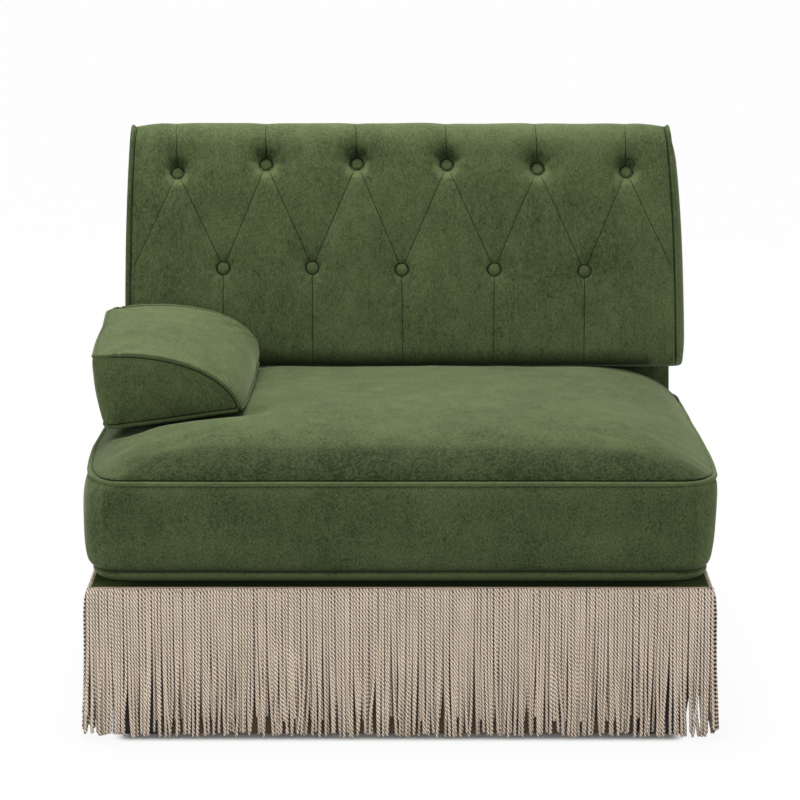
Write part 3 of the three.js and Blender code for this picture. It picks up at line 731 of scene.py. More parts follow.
def fold_distance(x, w):
    """Distance from points of the face to the nearest sewn fold."""
    nearest = np.full(len(x), 1.0)
    for x0, w0, x1, w1 in folds:
        dx, dw = x1 - x0, w1 - w0
        along = ramp((x - x0) * dx + (w - w0) * dw, dx * dx + dw * dw)
        nearest = np.minimum(nearest, np.hypot(x - x0 - along * dx, w - w0 - along * dw))
    return nearest


def dimples(x, w):
    """How far the buttons draw the face in."""
    pull = np.zeros(len(x))
    for tufts, depth, rise in ((upper_tufts, upper_dimple, dimple_rise), (lower_tufts, lower_dimple, 0)):
        for bx, bw in tufts:
            pull += depth * bell(np.hypot(x - bx, w - bw - rise), dimple_spread)
    return pull


def by_hand(x, w):
    """The pad was sewn and filled by hand: its buttons stray, and its lower part sits to the right."""
    share = ramp(w - lower_tuft, tuft_row_gap)
    fade = np.interp(w, [pad_bottom, lower_tuft, upper_tuft, pad_top], [0, 1, 1, 0])
    fade = fade * ramp(pad_half_width - np.abs(x), 0.08)
    stray = [
        fade * (share * np.interp(x, [p[0] for p in upper_tufts], [s[axis] for s in upper_strays])
        + (1 - share) * np.interp(x, [p[0] for p in lower_tufts], [s[axis] for s in lower_strays]))
        for axis in (0, 1)
    ]
    sag = pad_sag * np.sqrt(ramp(pad_top - w, pad_top - pad_bottom))
    return x + stray[0] + sag, w + stray[1]


def on_pad(x, depth, height):
    """Places on the pad as it came out by hand."""
    x, height = by_hand(x, height)
    return on_rake(x, depth, height)


def pad_depth(w):
    return pad_foot_depth + (pad_head_depth - pad_foot_depth) * (w - pad_bottom) / (pad_top - pad_bottom)


def pad_edge(w):
    share = ramp(w - pad_bottom, pad_top - pad_bottom)
    return pad_half_width - pad_narrowing * share**3


def ring_round(reach, size):
    """A soft ring round a button."""
    return size["strength"] * bell(reach - size["reach"], size["width"])


pad = block("back_cushion", pad_columns, sum(pad_rows), pad_layers)
column, row, layer = steps_of(pad, pad_columns, sum(pad_rows), pad_layers)
column = column - pad_columns // 2

# Across: whole cells of the tufting, and one narrow column up to the welt
plain_x = np.sign(column) * np.minimum(np.abs(column) * half_pitch / cells, pad_half_width)
plain_x = np.where(np.abs(column) == pad_columns // 2, np.sign(column) * pad_half_width, plain_x)

# Up the face: the rows of the foot roll, the three bands of the tufting, the head roll and the top
row_ends = np.cumsum([0, *pad_rows])
face_low = pad_bottom + pad_foot_roll
face_high = pad_top - pad_head_roll
head_run = pad_head_roll * 1.45
bands = np.array([
    pad_bottom - 0.004, face_low, lower_tuft, upper_tuft, face_high, face_high + head_run,
    face_high + head_run + pad_flat_run,
])
w = np.interp(row, row_ends, bands)
droop = upper_line(plain_x) - upper_tuft
w = w + droop * np.interp(w, [lower_tuft, upper_tuft, face_high], [0, 1, 0])
foot = ramp(face_low - w, face_low - bands[0])
head = ramp(w - face_high, head_run) * math.pi / 2
flat = ramp(w - face_high - head_run, pad_flat_run)
level = np.clip(w, face_low, face_high)
edge = pad_edge(np.minimum(w, pad_top))
outer = 2.5 * tuft_pitch
spread = ramp(np.abs(plain_x) - outer, pad_half_width - outer)
x = np.sign(plain_x) * np.where(np.abs(plain_x) > outer, outer + (edge - outer) * spread, np.abs(plain_x))
edge_share = np.abs(x) / edge
near = fold_distance(x, w)
pull = dimples(x, w) + fold_hollow * bell(near, fold_reach)
thickness = pad_depth(level) - pad_crown * edge_share**6
head_depth = thickness - pad_head_flat
depth = -(thickness - pull - 0.015 * (1 - np.cos(foot * math.pi / 2)))
depth += (1 - np.cos(head)) * head_depth + flat * pad_flat_run
height = level - pad_foot_roll * np.sin(foot * math.pi / 2) + pad_head_roll * np.sin(head)
height -= pull * np.sin(head)
height -= pad_end_drop * ramp(np.abs(x) - edge + 0.06, 0.06) ** 2 * np.sin(head)
x = x * (1 - 0.010 * ramp(pad_bottom + 0.045 - w, 0.045) ** 2 * edge_share**8)
front_share = layer / pad_layers
rear_height = np.interp(row, [0, sum(pad_rows)], [pad_bottom, pad_top - 0.008])
back_share = 1 - front_share
side_bow = pad_side_bulge * np.sin(math.pi * back_share**0.8) ** 0.8 - 0.0035 * back_share**6
side_bow = side_bow * np.where(column > 0, 1.25, 0.7)
is_side = np.abs(column) == pad_columns // 2
x = x + np.sign(x) * np.where(is_side, side_bow, 0) * np.cos(head) ** 0.5
depth = depth * front_share - pad_rear * back_share
height = height * front_share + rear_height * back_share
is_face = layer == pad_layers
move_points(pad, on_pad(x, depth, height))
keep(pad, "place", np.column_stack([np.clip(x, -edge, edge), w, is_face]))
crossing = is_face & (near < 0.002)
stuff(pad, crossing | ~is_face | (is_face & is_side), 2, 0.0022)
subdivide(pad, 2)

place = kept(pad, "place")
near = fold_distance(place[:, 0], place[:, 1])
on_face = np.clip((place[:, 2] - 0.75) * 4, 0, 1)
steps_out = place[:, 0] / half_pitch
step_up = place[:, 1] - lower_tuft
step_up /= np.where(step_up > 0, upper_line(place[:, 0]) - lower_tuft, tuft_row_gap)
fading = ramp(np.abs(steps_out) - tufted_steps, 0.15)
fading *= ramp(0.03 - step_up, 0.03)
fading = np.maximum(fading, 0.45 * ramp(step_up - 1.3, 0.15))
slit = np.exp(-near / fold_width) * on_face * (1 - fading)
slit *= 1 - 0.8 * ramp(step_up - 1.15, 0.1)
normals = normals_of(pad)
spots = points_of(pad)
inward = fold_slit * slit + uneven(spots, 0.09, 0.0016, 3) * on_face

# Painted light on the top roll and below the upper buttons, and painted shade in the hollows above them
painted_light = head_painted_light * ramp(place[:, 1] - upper_tuft + 0.06, 0.07) * on_face
painted_shade = np.zeros(len(spots))
for bx, bw in upper_tufts + lower_tufts:
    dx, dw = place[:, 0] - bx, place[:, 1] - bw
    reach = np.hypot(dx, dw)
    if bw > lower_tuft:
        upwards = dw / np.maximum(reach, 1e-6)
        painted_light += np.clip(0.3 - upwards, 0, 1) * ring_round(reach, crescent_highlight) * on_face
        painted_shade += np.clip(upwards, 0, 1) * ring_round(reach, hollow_shade) * on_face
    pleats = np.cos(9 * np.arctan2(dw, dx) + 31 * bx) * bell(reach - 0.02, 0.012)
    inward += (0.0013 * pleats + 0.005 * np.exp(-(reach / 0.0130) ** 6)) * on_face
move_points(pad, spots - normals * inward[:, None])
keep(pad, "sewing", np.column_stack([steps_out, step_up, on_face * (1 - fading)]))
keep(pad, "painted_light", painted_light)
keep(pad, "painted_shade", painted_shade)
from_side = pad_edge(np.minimum(place[:, 1], pad_top)) - np.abs(place[:, 0])
keep(pad, "margin", from_side + 0.05 * (1 - on_face))
smoothed(pad)


def diamond_seam_shade(finish):
    """Painted shade along the sewn lines: diagonals between the rows of buttons, verticals above and
    below, and the edges; also dark rings round the buttons, a darker foot and underside, and a wrinkle
    line.
    """
    out, up, shown = finish.parts(finish.stored("sewing", "Vector"))
    from_tuft = abs((out * 0.5).floor_part() - 0.5)
    fall = finish.node("ShaderNodeClamp", {}, {0: 1 - up})
    apart = abs(from_tuft * 2 - fall) * 0.075
    fold_shade_lines = 1 - finish.steps(apart, 0.1 * fold_line, 1.15 * fold_line)
    beside_upper, beside_lower = from_tuft * tuft_pitch, (1 - from_tuft * 2) * half_pitch
    above_upper, above_lower = (up - 1) * (1.1 * tuft_row_gap), up * tuft_row_gap
    upper = (beside_upper * beside_upper + above_upper * above_upper) ** 0.5
    lower = (beside_lower * beside_lower + above_lower * above_lower) ** 0.5
    under = 1 - finish.steps(upper, button_radius + 0.002, button_radius + 0.010)
    under = under * (1 - finish.steps(up, 0.98, 1.01))
    nearest = upper.maths("MINIMUM", upper, lower)
    beyond = finish.steps(abs(out), tufted_steps, tufted_steps + 0.1)
    # Painted shade: a dark ring round each button, made weaker on the lower half of the upper ones, where
    # they are lit.
    rings = (1 - finish.steps(nearest, button_radius + 0.0002, button_radius + 0.0022)) * (1 - beyond)
    lit_rim = finish.steps(up, 0.85, 0.90) * (1 - finish.steps(up, 0.96, 1.02))
    rings = rings * (1 - lit_rim * 0.6)
    shade = (1 - finish.steps(up, -0.93, -0.74)) * 0.92
    underside_shade = 1 - finish.steps(up, -0.93, -0.91)
    wrinkle_shade = abs(up + 0.354 - out * 0.0906) * tuft_row_gap
    wrinkle_shade = 1 - finish.steps(wrinkle_shade, 0.0002, 0.0014)
    wrinkle_shade = wrinkle_shade * finish.steps(out, 3.05, 3.25) * (1 - finish.steps(out, 3.5, 3.62)) * 0.5
    deepest = shown * rings
    sewn = [shown * (fold_shade_lines * (1 - under)), shown * shade, shown * wrinkle_shade]
    for part in (*sewn, underside_shade, welt_shade_line(finish)):
        deepest = deepest.larger(part)
    return deepest


pad_velvet = velvet("velvet_back", (1, 1, 0.4), diamond_seam_shade)
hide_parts("back_pad")
finished(pad, pad_velvet, "root")

# Welts of the back pad: cotton cords in a sleeve of the same velvet, sewn into the seams between the
# face and the side strips. They run from the foot of the pad over its top.
pad_welt_radius = 0.0034
pad_welt_out = 0.0012
for side, name in ((-1, "left"), (1, "right")):
    up = np.linspace(face_low - 0.004, face_high, 60)
    turn = np.linspace(0, math.pi / 2, 16)[1:]
    back = np.linspace(0, pad_head_flat - 0.02, 12)[1:]
    inner = pad_depth(face_high) - pad_crown
    line_depth = np.concatenate([
        -(pad_depth(up) - pad_crown),
        -inner + (1 - np.cos(turn)) * (inner - pad_head_flat),
        -pad_head_flat + back,
    ])
    line_rise = (pad_head_roll - pad_end_drop) * np.sin(turn)
    line_height = np.concatenate([up, face_high + line_rise, np.full(11, pad_top - pad_end_drop)])
    line_x = side * (pad_edge(line_height) + pad_welt_out)
    line = on_pad(line_x, line_depth, line_height)
    piece = welt(f"back_cushion_welt_{name}", line, pad_welt_radius, False)
    finished(piece, panel_velvet, "root")


# Buttons: metal domes covered in the same velvet, pulled in by twines that go through the pad. The
# upper ones tip back with the top roll.
button_dome = 0.0052
button_rim = 0.004
button_seat = 0.0012
button_tilts = {"upper": math.radians(27), "lower": 0}


def surface_of(piece):
    """A search tree over the faces of a piece."""
    faces = [list(face.vertices) for face in piece.data.polygons]
    return BVHTree.FromPolygons([Vector(p) for p in points_of(piece)], faces)


pad_tree = surface_of(pad)
for row_name, tufts in (("upper", upper_tufts), ("lower", lower_tufts)):
    tilt = button_tilts[row_name]
    button_up = math.cos(tilt) * rake_up + math.sin(tilt) * rake_back
    button_in = math.cos(tilt) * rake_back - math.sin(tilt) * rake_up
    for i, (bx, bw) in enumerate(tufts):
        node = f"tuft_button_{row_name}_{i + 1}"
        bpy.ops.mesh.primitive_uv_sphere_add(segments=40, ring_count=20, radius=1)
        button = bpy.context.object
        button.name = f"velvet_button_{row_name}_{i + 1}"
        unit = points_of(button)
        dome = np.where(unit[:, 2] > 0, button_dome, button_rim) * np.abs(unit[:, 2]) ** 0.8
        out = np.sign(unit[:, 2]) * dome
        gathers = np.cos(12 * np.arctan2(unit[:, 1], unit[:, 0])) * (unit[:, 2] < 0.1)
        wide = button_radius * (1 + 0.04 * gathers)
        outside = Vector(on_pad(np.array([bx]), np.array([-0.3]), np.array([bw]))[0])
        middle = np.array(pad_tree.ray_cast(outside, Vector(rake_back))[0]) - button_seat * button_in
        facing = np.outer(unit[:, 0] * wide, [1, 0, 0]) + np.outer(unit[:, 1] * wide, button_up)
        move_points(button, middle + facing - np.outer(out, button_in))
        turned_out(button)
        bpy.ops.object.shade_smooth()
        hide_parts(node)
        finished(button, welt_velvet_painted_light, "root")


# Seat cushion: a loose foam cushion in velvet with a crowned top, bowed sides and welts in both
# seams. It lies on the deck and reaches under the back pad.
seat_low, seat_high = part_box("seat_cushion")
seat_side_bulges = (0.0115, 0.0070)
seat_bows = {"left": (0.009, -0.19, 0.16), "right": (0.010, -0.25, 0.19)}
seat_front_bulge = 0.018
seat_half = 0.498
seat_front = seat_low.y + seat_front_bulge
seat_seams = (0.0155, 0.1630)
seat_corner = 0.058
seat_corner_depths = {"left": 0.118, "right": 0.075, "low": 0.060}
seat_crown = seat_high.z - seat_low.z - seat_seams[1] - 0.002
seat_shoulder = 0.085
seat_shoulder_share = 0.62
seat_foot_inset = 0.017
seat_seam_inset = 0.003
seat_columns = 84
seat_rows = 62
seat_roll_layers = 5
seat_layers = 17
seat_welt_radius = 0.0040
seam_points = 3000
bolster_corner = np.array([-0.4925, -0.2009, seat_low.z + 0.1982])
bolster_roll = math.radians(7.9)
bolster_width = 0.249
bolster_dent = 0.004
edge_dent = {"depth": 0.011, "ahead": 0.009, "width": 0.028}
low_roll_height = 0.014
low_roll_painted_light = 0.8


def seat_rear(z):
    return rake_foot.y + (z - rake_foot.z) * math.tan(rake) - 0.0012


def rounded(u, v, half, front, rear, rise):
    """Places over a rectangle with round corners, from two shares that go from -1 to 1."""
    wide = seat_corner
    top = np.where(u < 0, seat_corner_depths["left"], seat_corner_depths["right"])
    deep = seat_corner_depths["low"] + (top - seat_corner_depths["low"]) * rise**1.5
    x, y = u * half, v * (rear - front) / 2
    over_x = np.maximum(np.abs(x) - (half - wide), 0) / wide
    over_y = np.maximum(np.abs(y) - ((rear - front) / 2 - deep), 0) / deep
    fit_x = over_x * np.sqrt(1 - over_y**2 / 2)
    fit_y = over_y * np.sqrt(1 - over_x**2 / 2)
    x = np.sign(x) * (np.abs(x) + (fit_x - over_x) * wide)
    y = np.sign(y) * (np.abs(y) + (fit_y - over_y) * deep)
    return x, y + (front + rear) / 2


def seat_bow(x, y, rise):
    """How far the upper seam is pushed out towards the middle of a side, and in towards the rear."""
    reach, middle, spread = [np.where(x < 0, *pair) for pair in zip(seat_bows["left"], seat_bows["right"])]
    out = reach * bell(y - middle, spread) - 0.007 * ramp(y - 0.05, 0.22)
    return np.sign(x) * out * rise**2 * ramp(np.abs(x) - 0.38, 0.11)


def evened(line, count):
    """The same line in evenly spaced points, without its last."""
    run = np.concatenate([[0], np.cumsum(np.linalg.norm(np.diff(line, axis=0), axis=1))])
    at = np.linspace(0, run[-1], count, endpoint=False)
    return np.column_stack([np.interp(at, run, axis) for axis in line.T])


def closed_up(ring):
    return np.vstack([ring, ring[:1]])


def tree_along(line):
    """A search tree over a line of points, filled in closely."""
    dense = evened(line, seam_points)
    tree = KDTree(len(dense))
    for i, spot in enumerate(dense):
        tree.insert(spot, i)
    tree.balance()
    return tree


def distance_from(line, places):
    """Distance of each place from a line of points."""
    tree = tree_along(line)
    return np.array([tree.find(spot)[2] for spot in places])


def in_order(seam):
    """The points of a closed seam in their order round its middle."""
    away = seam - seam.mean(axis=0)
    return seam[np.argsort(np.arctan2(away[:, 1], away[:, 0]))]


def eased(share):
    share = np.clip(share, 0, 1)
    return share * share * (3 - 2 * share)


def dented(x, y, z):
    """The bolster presses the left of the crown into a flat slope, deepest under its front edge."""
    sole = bolster_corner[2] + (x - bolster_corner[0]) * math.tan(bolster_roll) - bolster_dent
    from_edge = y - bolster_corner[1]
    groove = bell(from_edge + edge_dent["ahead"], edge_dent["width"])
    sole = sole - edge_dent["depth"] * groove
    under = eased((from_edge + 0.08) / 0.065)
    under = under * eased((bolster_corner[0] + bolster_width + 0.05 - x) / 0.05)
    return z - under * np.maximum(z - sole, 0)


seat = block("seat_cushion_velvet", seat_columns, seat_rows, seat_layers)
column, row, layer = steps_of(seat, seat_columns, seat_rows, seat_layers)
u = 2 * column / seat_columns - 1
u = 0.55 * u + 0.45 * np.sin(u * math.pi / 2)
v = 2 * (row / seat_rows) ** 1.25 - 1
roll = ramp(layer, seat_roll_layers)
rise = ramp(layer - seat_roll_layers, seat_layers - seat_roll_layers)
bow = np.maximum(1 - (2 * rise**1.15 - 1) ** 2, 0) ** 0.45
z = seat_low.z + seat_seams[0] * (1 - np.cos(roll * math.pi / 2))
z += (seat_seams[1] - seat_seams[0]) * rise
inset = seat_foot_inset - (seat_foot_inset - seat_seam_inset) * np.sin(roll * math.pi / 2)
inset = np.where(rise > 0, seat_seam_inset * (1 - rise), inset)
half = seat_half - inset + np.where(u < 0, *seat_side_bulges) * bow
front = seat_front + np.where(rise > 0, 0, inset - seat_seam_inset) - seat_front_bulge * bow
x, y = rounded(u, v, half, front, seat_rear(z) - np.where(rise > 0, 0, inset), rise)
x = x + seat_bow(x, y, rise)
on_top = layer == seat_layers
shoulder = np.clip(1 - (y - seat_front) / seat_shoulder, 0, 1)
crown_front = seat_shoulder_share * np.sqrt(1 - shoulder**2)
crown_front += (1 - seat_shoulder_share) * (1 - np.abs(v) ** 3)
crown = 1 - np.abs(u) ** (7 + 4 * np.clip(v, 0, 1))
crown *= np.where(v < 0, crown_front, 1 - np.abs(v) ** 6.3)
z = np.where(on_top, dented(x, y, seat_low.z + seat_seams[1] + seat_crown * crown), z)
spots = np.column_stack([x, y, z])
move_points(seat, spots)
round_edge = (np.abs(u) > 0.9999) | (np.abs(v) > 0.9999)
seam_upper = on_top & round_edge
seam_lower = (layer == seat_roll_layers) & round_edge
keep(seat, "place", np.column_stack([seam_upper, seam_lower, on_top]))
stuff(seat, seam_upper | seam_lower | (layer == 0) | ((v > 0.7) & ~on_top), 3, 0.0030)
subdivide(seat, 1)

# Subdivision draws the seam in at the corners, so it is put back on its curve
seam = in_order(spots[seam_upper])
tree = tree_along(closed_up(seam))
spots = points_of(seat)
place = kept(seat, "place")
on_seam = place[:, 0] > 0.999
for i in np.flatnonzero(on_seam):
    spots[i] = tree.find(spots[i])[0]
move_points(seat, spots)
normals = normals_of(seat)
inward = uneven(spots, 0.16, 0.0022, 5) + uneven(spots, 0.05, 0.0007, 8) + 0.001
inward += 0.0025 * np.maximum(place[:, 0], place[:, 1]) ** 2
free = ramp(spots[:, 2] - seat_low.z, 0.01)
spots -= normals * (inward * free)[:, None]
spots[on_seam, 2] = np.median(spots[on_seam, 2])
move_points(seat, spots)
seam = in_order(spots[on_seam])
seam_distance = distance_from(closed_up(seam), spots)
# Painted shadow on the seat under the bolster's front edge, and painted shade beside the lower seam.
from_edge = spots[:, 1] - bolster_corner[1]
bolster_shadow = eased((from_edge + 0.018) / 0.013) * eased((-0.255 - spots[:, 0]) / 0.02)
bolster_shadow *= eased((spots[:, 0] + 0.478) / 0.03)
bolster_shadow *= 0.85 - 0.85 * eased((from_edge - 0.006) / 0.026)
painted_crease_shade = np.maximum(0.9 * place[:, 1] ** 3, 0.95 * bolster_shadow * (place[:, 2] > 0.999))
keep(seat, "painted_crease_shade", painted_crease_shade)
keep(seat, "margin", seam_distance + 0.05 * (place[:, 2] < 0.999))
# Painted shade on the front slope of the crown and on the sides, and painted light on the lower roll.
front_slope_shade = eased((seat_front + 0.078 - spots[:, 1]) / 0.05) * eased((spots[:, 0] + 0.475) / 0.07)
low_roll = spots[:, 2] < seat_low.z + low_roll_height
side_painted_shade = 0.62 * (np.abs(spots[:, 0]) < 0.47) * ~low_roll
keep(seat, "painted_shade", np.where(place[:, 2] > 0.999, front_slope_shade, side_painted_shade))
keep(seat, "painted_light", low_roll_painted_light * low_roll)
smoothed(seat)
seat_velvet = velvet("velvet_seat", (0.8, 0.8, 0.5))
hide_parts("seat_cushion")
finished(seat, seat_velvet, "seat_cushion")

# Welt of the seat cushion: a cord in a sleeve of the same velvet, sewn into the upper seam all the
# way round. The lower seam is plain.
away = seam - seam.mean(axis=0)
out = np.column_stack([away[:, 0] / seat_half, away[:, 1] / 0.36, np.zeros(len(seam))]) ** 9
seam += out / np.linalg.norm(out, axis=1, keepdims=True) * 0.0016 - (0, 0, 0.0006)
piece = welt("seat_cushion_welt", seam, seat_welt_radius, True)
finished(piece, welt_velvet_painted_light, "seat_cushion")


# Arm bolster: a loose bolster in velvet with an arched top that lies on the left of the seat. A
# welt runs round its top panel and along its sole, which takes the shape of the cushion under it.
arm_length = 0.330
arm_pitch = math.radians(5.2)
arm_front_arch = (0.004, 0.2290, 0.1262, 1.88, 11)
arm_body_arch = (-0.006, bolster_width + 0.0120, 0.1165, 2.12, 26)
arm_growth = 0.42
arm_heart = np.array([0.090, 0.050])
arm_rear_round = 0.012
arm_rear_inset = 0.003
arm_edge_round = 0.020
arm_edge_reach = 0.032
arm_flank_bulge = 0.0045
arm_face_crown = 0.006
arm_segments = 128
arm_arch_points = 440
arm_side_points = 110
arm_sole_points = 250
arm_cap_rings = 10
arm_body_rings = 36
arm_rest_gap = 0.0012
arm_welt_radius = 0.0030
arm_welt_points = 700
arm_welt_round = 5


def rounded_ring(ring, window):
    """A closed ring of points with its corners worn round."""
    wrapped = np.vstack([ring[-window:], ring, ring[:window]])
    weights = np.ones(2 * window + 1) / (2 * window + 1)
    return np.column_stack([np.convolve(axis, weights, "valid") for axis in wrapped.T])


def arm_section(left, width, height, fullness, window):
    """An arch from its tip on the right to the left, down the side and back along the sole."""
    turn = np.linspace(0, math.pi / 2, 200)
    across = left + width * np.cos(turn) ** (2 / fullness)
    arch = np.column_stack([across, height * np.sin(turn) ** (2 / fullness)])
    turn = np.linspace(0, math.pi, 60)
    side = np.column_stack([left - arm_flank_bulge * np.sin(turn) ** 0.8, height * (1 - turn / math.pi)])
    sole = np.array([[left, 0], [left + width, 0]])
    ring = np.vstack([
        evened(arch, arm_arch_points), evened(side, arm_side_points), evened(sole, arm_sole_points),
    ])
    return rounded_ring(ring, window)


arm_points = arm_arch_points + arm_side_points + arm_sole_points
arm_front_section = arm_section(*arm_front_arch)
arm_body_section = arm_section(*arm_body_arch)
arm_across = np.array([math.cos(bolster_roll), 0, math.sin(bolster_roll)])
arm_along = np.array([0, math.cos(arm_pitch), math.sin(arm_pitch)])
arm_up = np.cross(arm_across, arm_along)
arm_up /= np.linalg.norm(arm_up)

seat_tree = surface_of(seat)


def seat_surface(x, y):
    """Height of the seat cushion's top under a place."""
    hit = seat_tree.ray_cast(Vector((x, y, 1)), Vector((0, 0, -1)))[0]
    return hit.z if hit else seat_low.z


def rest_on_seat(spots, gap):
    for spot in spots:
        spot[2] = max(spot[2], seat_surface(spot[0], spot[1]) + gap)
    return spots


def arm_places(point, along, size):
    """Places on the bolster: round its section, along its length, and how far out from its heart."""
    point = point % arm_points
    growth = (ramp(along, arm_length) ** arm_growth)[:, None]
    end = np.clip(1 - (arm_length - along) / arm_rear_round, 0, 1)
    shrink = 1 - arm_rear_inset / 0.06 * (1 - np.sqrt(1 - end**2))
    ring = arm_front_section[point] * (1 - growth) + arm_body_section[point] * growth
    ring = arm_heart + (ring - arm_heart) * (size * shrink)[:, None]
    turn = 1 - np.sqrt(1 - np.clip(1 - ring[:, 0] / arm_edge_reach, 0, 1) ** 2)
    back = arm_edge_round * turn * np.clip(1 - along / 0.06, 0, 1)
    front_face = along < arm_length / 2
    crown = np.where(front_face, -1, 1) * arm_face_crown * (1 - size**2.5)
    spots = bolster_corner + np.outer(ring[:, 0], arm_across) + np.outer(ring[:, 1], arm_up)
    spots += np.outer(along + back + crown, arm_along)
    reach = np.interp(ring[:, 0], [0, 0.06], [0.10, 0.02])
    spots[:, 2] -= along * math.sin(arm_pitch) * np.clip(1 - ring[:, 1] / reach, 0, 1)
    return spots


rings = arm_body_rings + 2 * arm_cap_rings
bpy.ops.mesh.primitive_uv_sphere_add(segments=arm_segments, ring_count=rings, radius=1)
arm = bpy.context.object
arm.name = "arm_bolster_velvet"
unit = points_of(arm)
ring = np.rint(np.arccos(np.clip(unit[:, 2], -1, 1)) / math.pi * rings).astype(int)
point = np.rint(np.arctan2(unit[:, 1], unit[:, 0]) / (2 * math.pi) * arm_points).astype(int)
cap = np.minimum(ring, rings - ring)
size = np.sin(ramp(cap, arm_cap_rings) * math.pi / 2)
share = ramp(ring - arm_cap_rings, arm_body_rings)
along = arm_length * (0.4 * share + 0.6 * (0.5 - 0.5 * np.cos(share * math.pi)))
spots = rest_on_seat(arm_places(point, along, size), arm_rest_gap)
move_points(arm, spots)
turned_out(arm)
keep(arm, "place", np.column_stack([ring <= arm_cap_rings, ring, size]))
seam = cap == arm_cap_rings
sole = spots[:, 2] < np.array([seat_surface(p[0], p[1]) for p in spots]) + 0.006
stuff(arm, seam | sole, 2, 0.003)
subdivide(arm, 1)
spots = points_of(arm)
spots -= normals_of(arm) * (uneven(spots, 0.11, 0.002, 21) + 0.0005)[:, None]
move_points(arm, rest_on_seat(spots, arm_rest_gap))
arch = np.arange(0, arm_arch_points - 6, 4)
sole_run = np.arange(arm_arch_points + arm_side_points + 12, arm_points + 1, 4)
spots = points_of(arm)
place = kept(arm, "place")
runs = [arm_places(run, 0.0 * run, np.ones(len(run))) for run in (arch, sole_run)]
runs = [rest_on_seat(run, arm_rest_gap) for run in runs]
margins = np.minimum(*[distance_from(run, spots) for run in runs])
keep(arm, "margin", np.where(place[:, 0] > 0.999, margins, 0.05))
smoothed(arm)
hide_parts("arm_bolster")
# Painted light: the bolster's velvet is made paler, as its top is more brightly lit.
arm_velvet_painted_light = velvet("velvet_arm_painted_light", (0.8, 0.8, 0.5), edge_shade, 0.10)
finished(arm, arm_velvet_painted_light, "arm_bolster")

# Welts of the bolster: cords in sleeves of the same velvet, one round the arched top panel, and one
# along the edges of the sole.
arm_tree = surface_of(arm)
arch = np.arange(0, arm_arch_points + 4, 6)
sole_run = np.arange(arm_arch_points + arm_side_points, arm_points, 6)
length_run = np.linspace(0, arm_length, 60)
top_points = np.concatenate([arch, np.full(60, arch[-1]), arch[::-1], np.zeros(60, int)])
top_along = np.concatenate([0 * arch, length_run, 0 * arch + arm_length, length_run[::-1]])
sole_points = np.concatenate([sole_run[::-1], np.full(60, sole_run[0]), sole_run])
sole_along = np.concatenate([0 * sole_run + arm_length, length_run[::-1], 0 * sole_run])
for name, points, along, closed in (
    ("top", top_points, top_along, True), ("sole", sole_points, sole_along, False),
):
    line = arm_places(points, along, np.ones(len(points)))
    if closed:
        line = rounded_ring(evened(closed_up(line), arm_welt_points), arm_welt_round)
    for spot in line:
        near, normal = arm_tree.find_nearest(Vector(spot))[:2]
        spot[:] = near + 0.0010 * normal
    line = rest_on_seat(line, arm_welt_radius + arm_rest_gap)
    piece = welt(f"arm_bolster_welt_{name}", line, arm_welt_radius, closed)
    finished(piece, welt_velvet_painted_light, "arm_bolster")


# Fringe: bullion fringe of two-ply twisted cotton cords, hung from a narrow braid that is sewn
# round the top of the base. Each cord hangs free, and the cords part towards the floor.
cord_radius = 0.0027
cord_sides = 6
cord_shares = np.array([0, 0.035, 0.15, 0.3, 0.45, 0.58, 0.69, 0.79, 0.88, 0.99, 1])
cord_steps = len(cord_shares) - 1
cord_lay = 0.0069
cord_pitch = 0.0049
rear_cord_pitch = 0.0085
fringe_floor_gap = 0.004
rear_cord_gap = 0.030
foot_cord_gap = 0.105
braid_radius = 0.0019
cord_corner = 0.011
braid_corner = 0.0052
header_line = -0.0062
side_braid_drop = 0.004
tape_faces = (-0.0036, -0.0005)
tape_height = 0.021
tape_drop = 0.011


def bullion(name):
    """Two-ply cotton: UV runs round the cord and, in lays, along it."""
    finish = material(name)
    uv = finish.node("ShaderNodeUVMap", {"uv_map": "UVMap"}, {})
    round_it, along = finish.parts(uv)[:2]
    across = finish.node("ShaderNodeMath", {"operation": "COSINE"}, {0: round_it * (2 * math.pi)})
    phase = (along + across * 0.52).floor_part()
    # Painted light and shade: the crests of the plies are painted lighter and their grooves darker, and
    # each cord darkens towards its sides as painted shade from its neighbours.
    ply = 1 - finish.steps(abs(phase - 0.5), 0.14, 0.46)
    side = across * across
    yarn = abs((round_it * 14 + along * 5).floor_part() - 0.5) * 2
    place = finish.place()
    uneven_dye = finish.noise(place, 26, 3)
    each_cord = finish.noise(finish.stretch(place, (1, 1, 0.04)), 150, 2)
    fluff = finish.noise(place, 1100, 2)
    tone = 0.22 + ply * 0.98 - side * side * 0.78 + yarn * 0.08
    tone = tone + (uneven_dye - 0.5) * 0.3 + (each_cord - 0.5) * 0.5 + (fluff - 0.5) * 0.3
    cotton = finish.blend(tone, colour(32, 20, 11), colour(253, 234, 213))
    finish.shader({
        "Base Color": cotton,
        "Roughness": 0.85,
        "Specular IOR Level": 0.2,
        "Sheen Weight": 0.15,
        "Normal": finish.bump(ply + yarn * 0.12, 0.9, 0.0011),
    })
    return finish


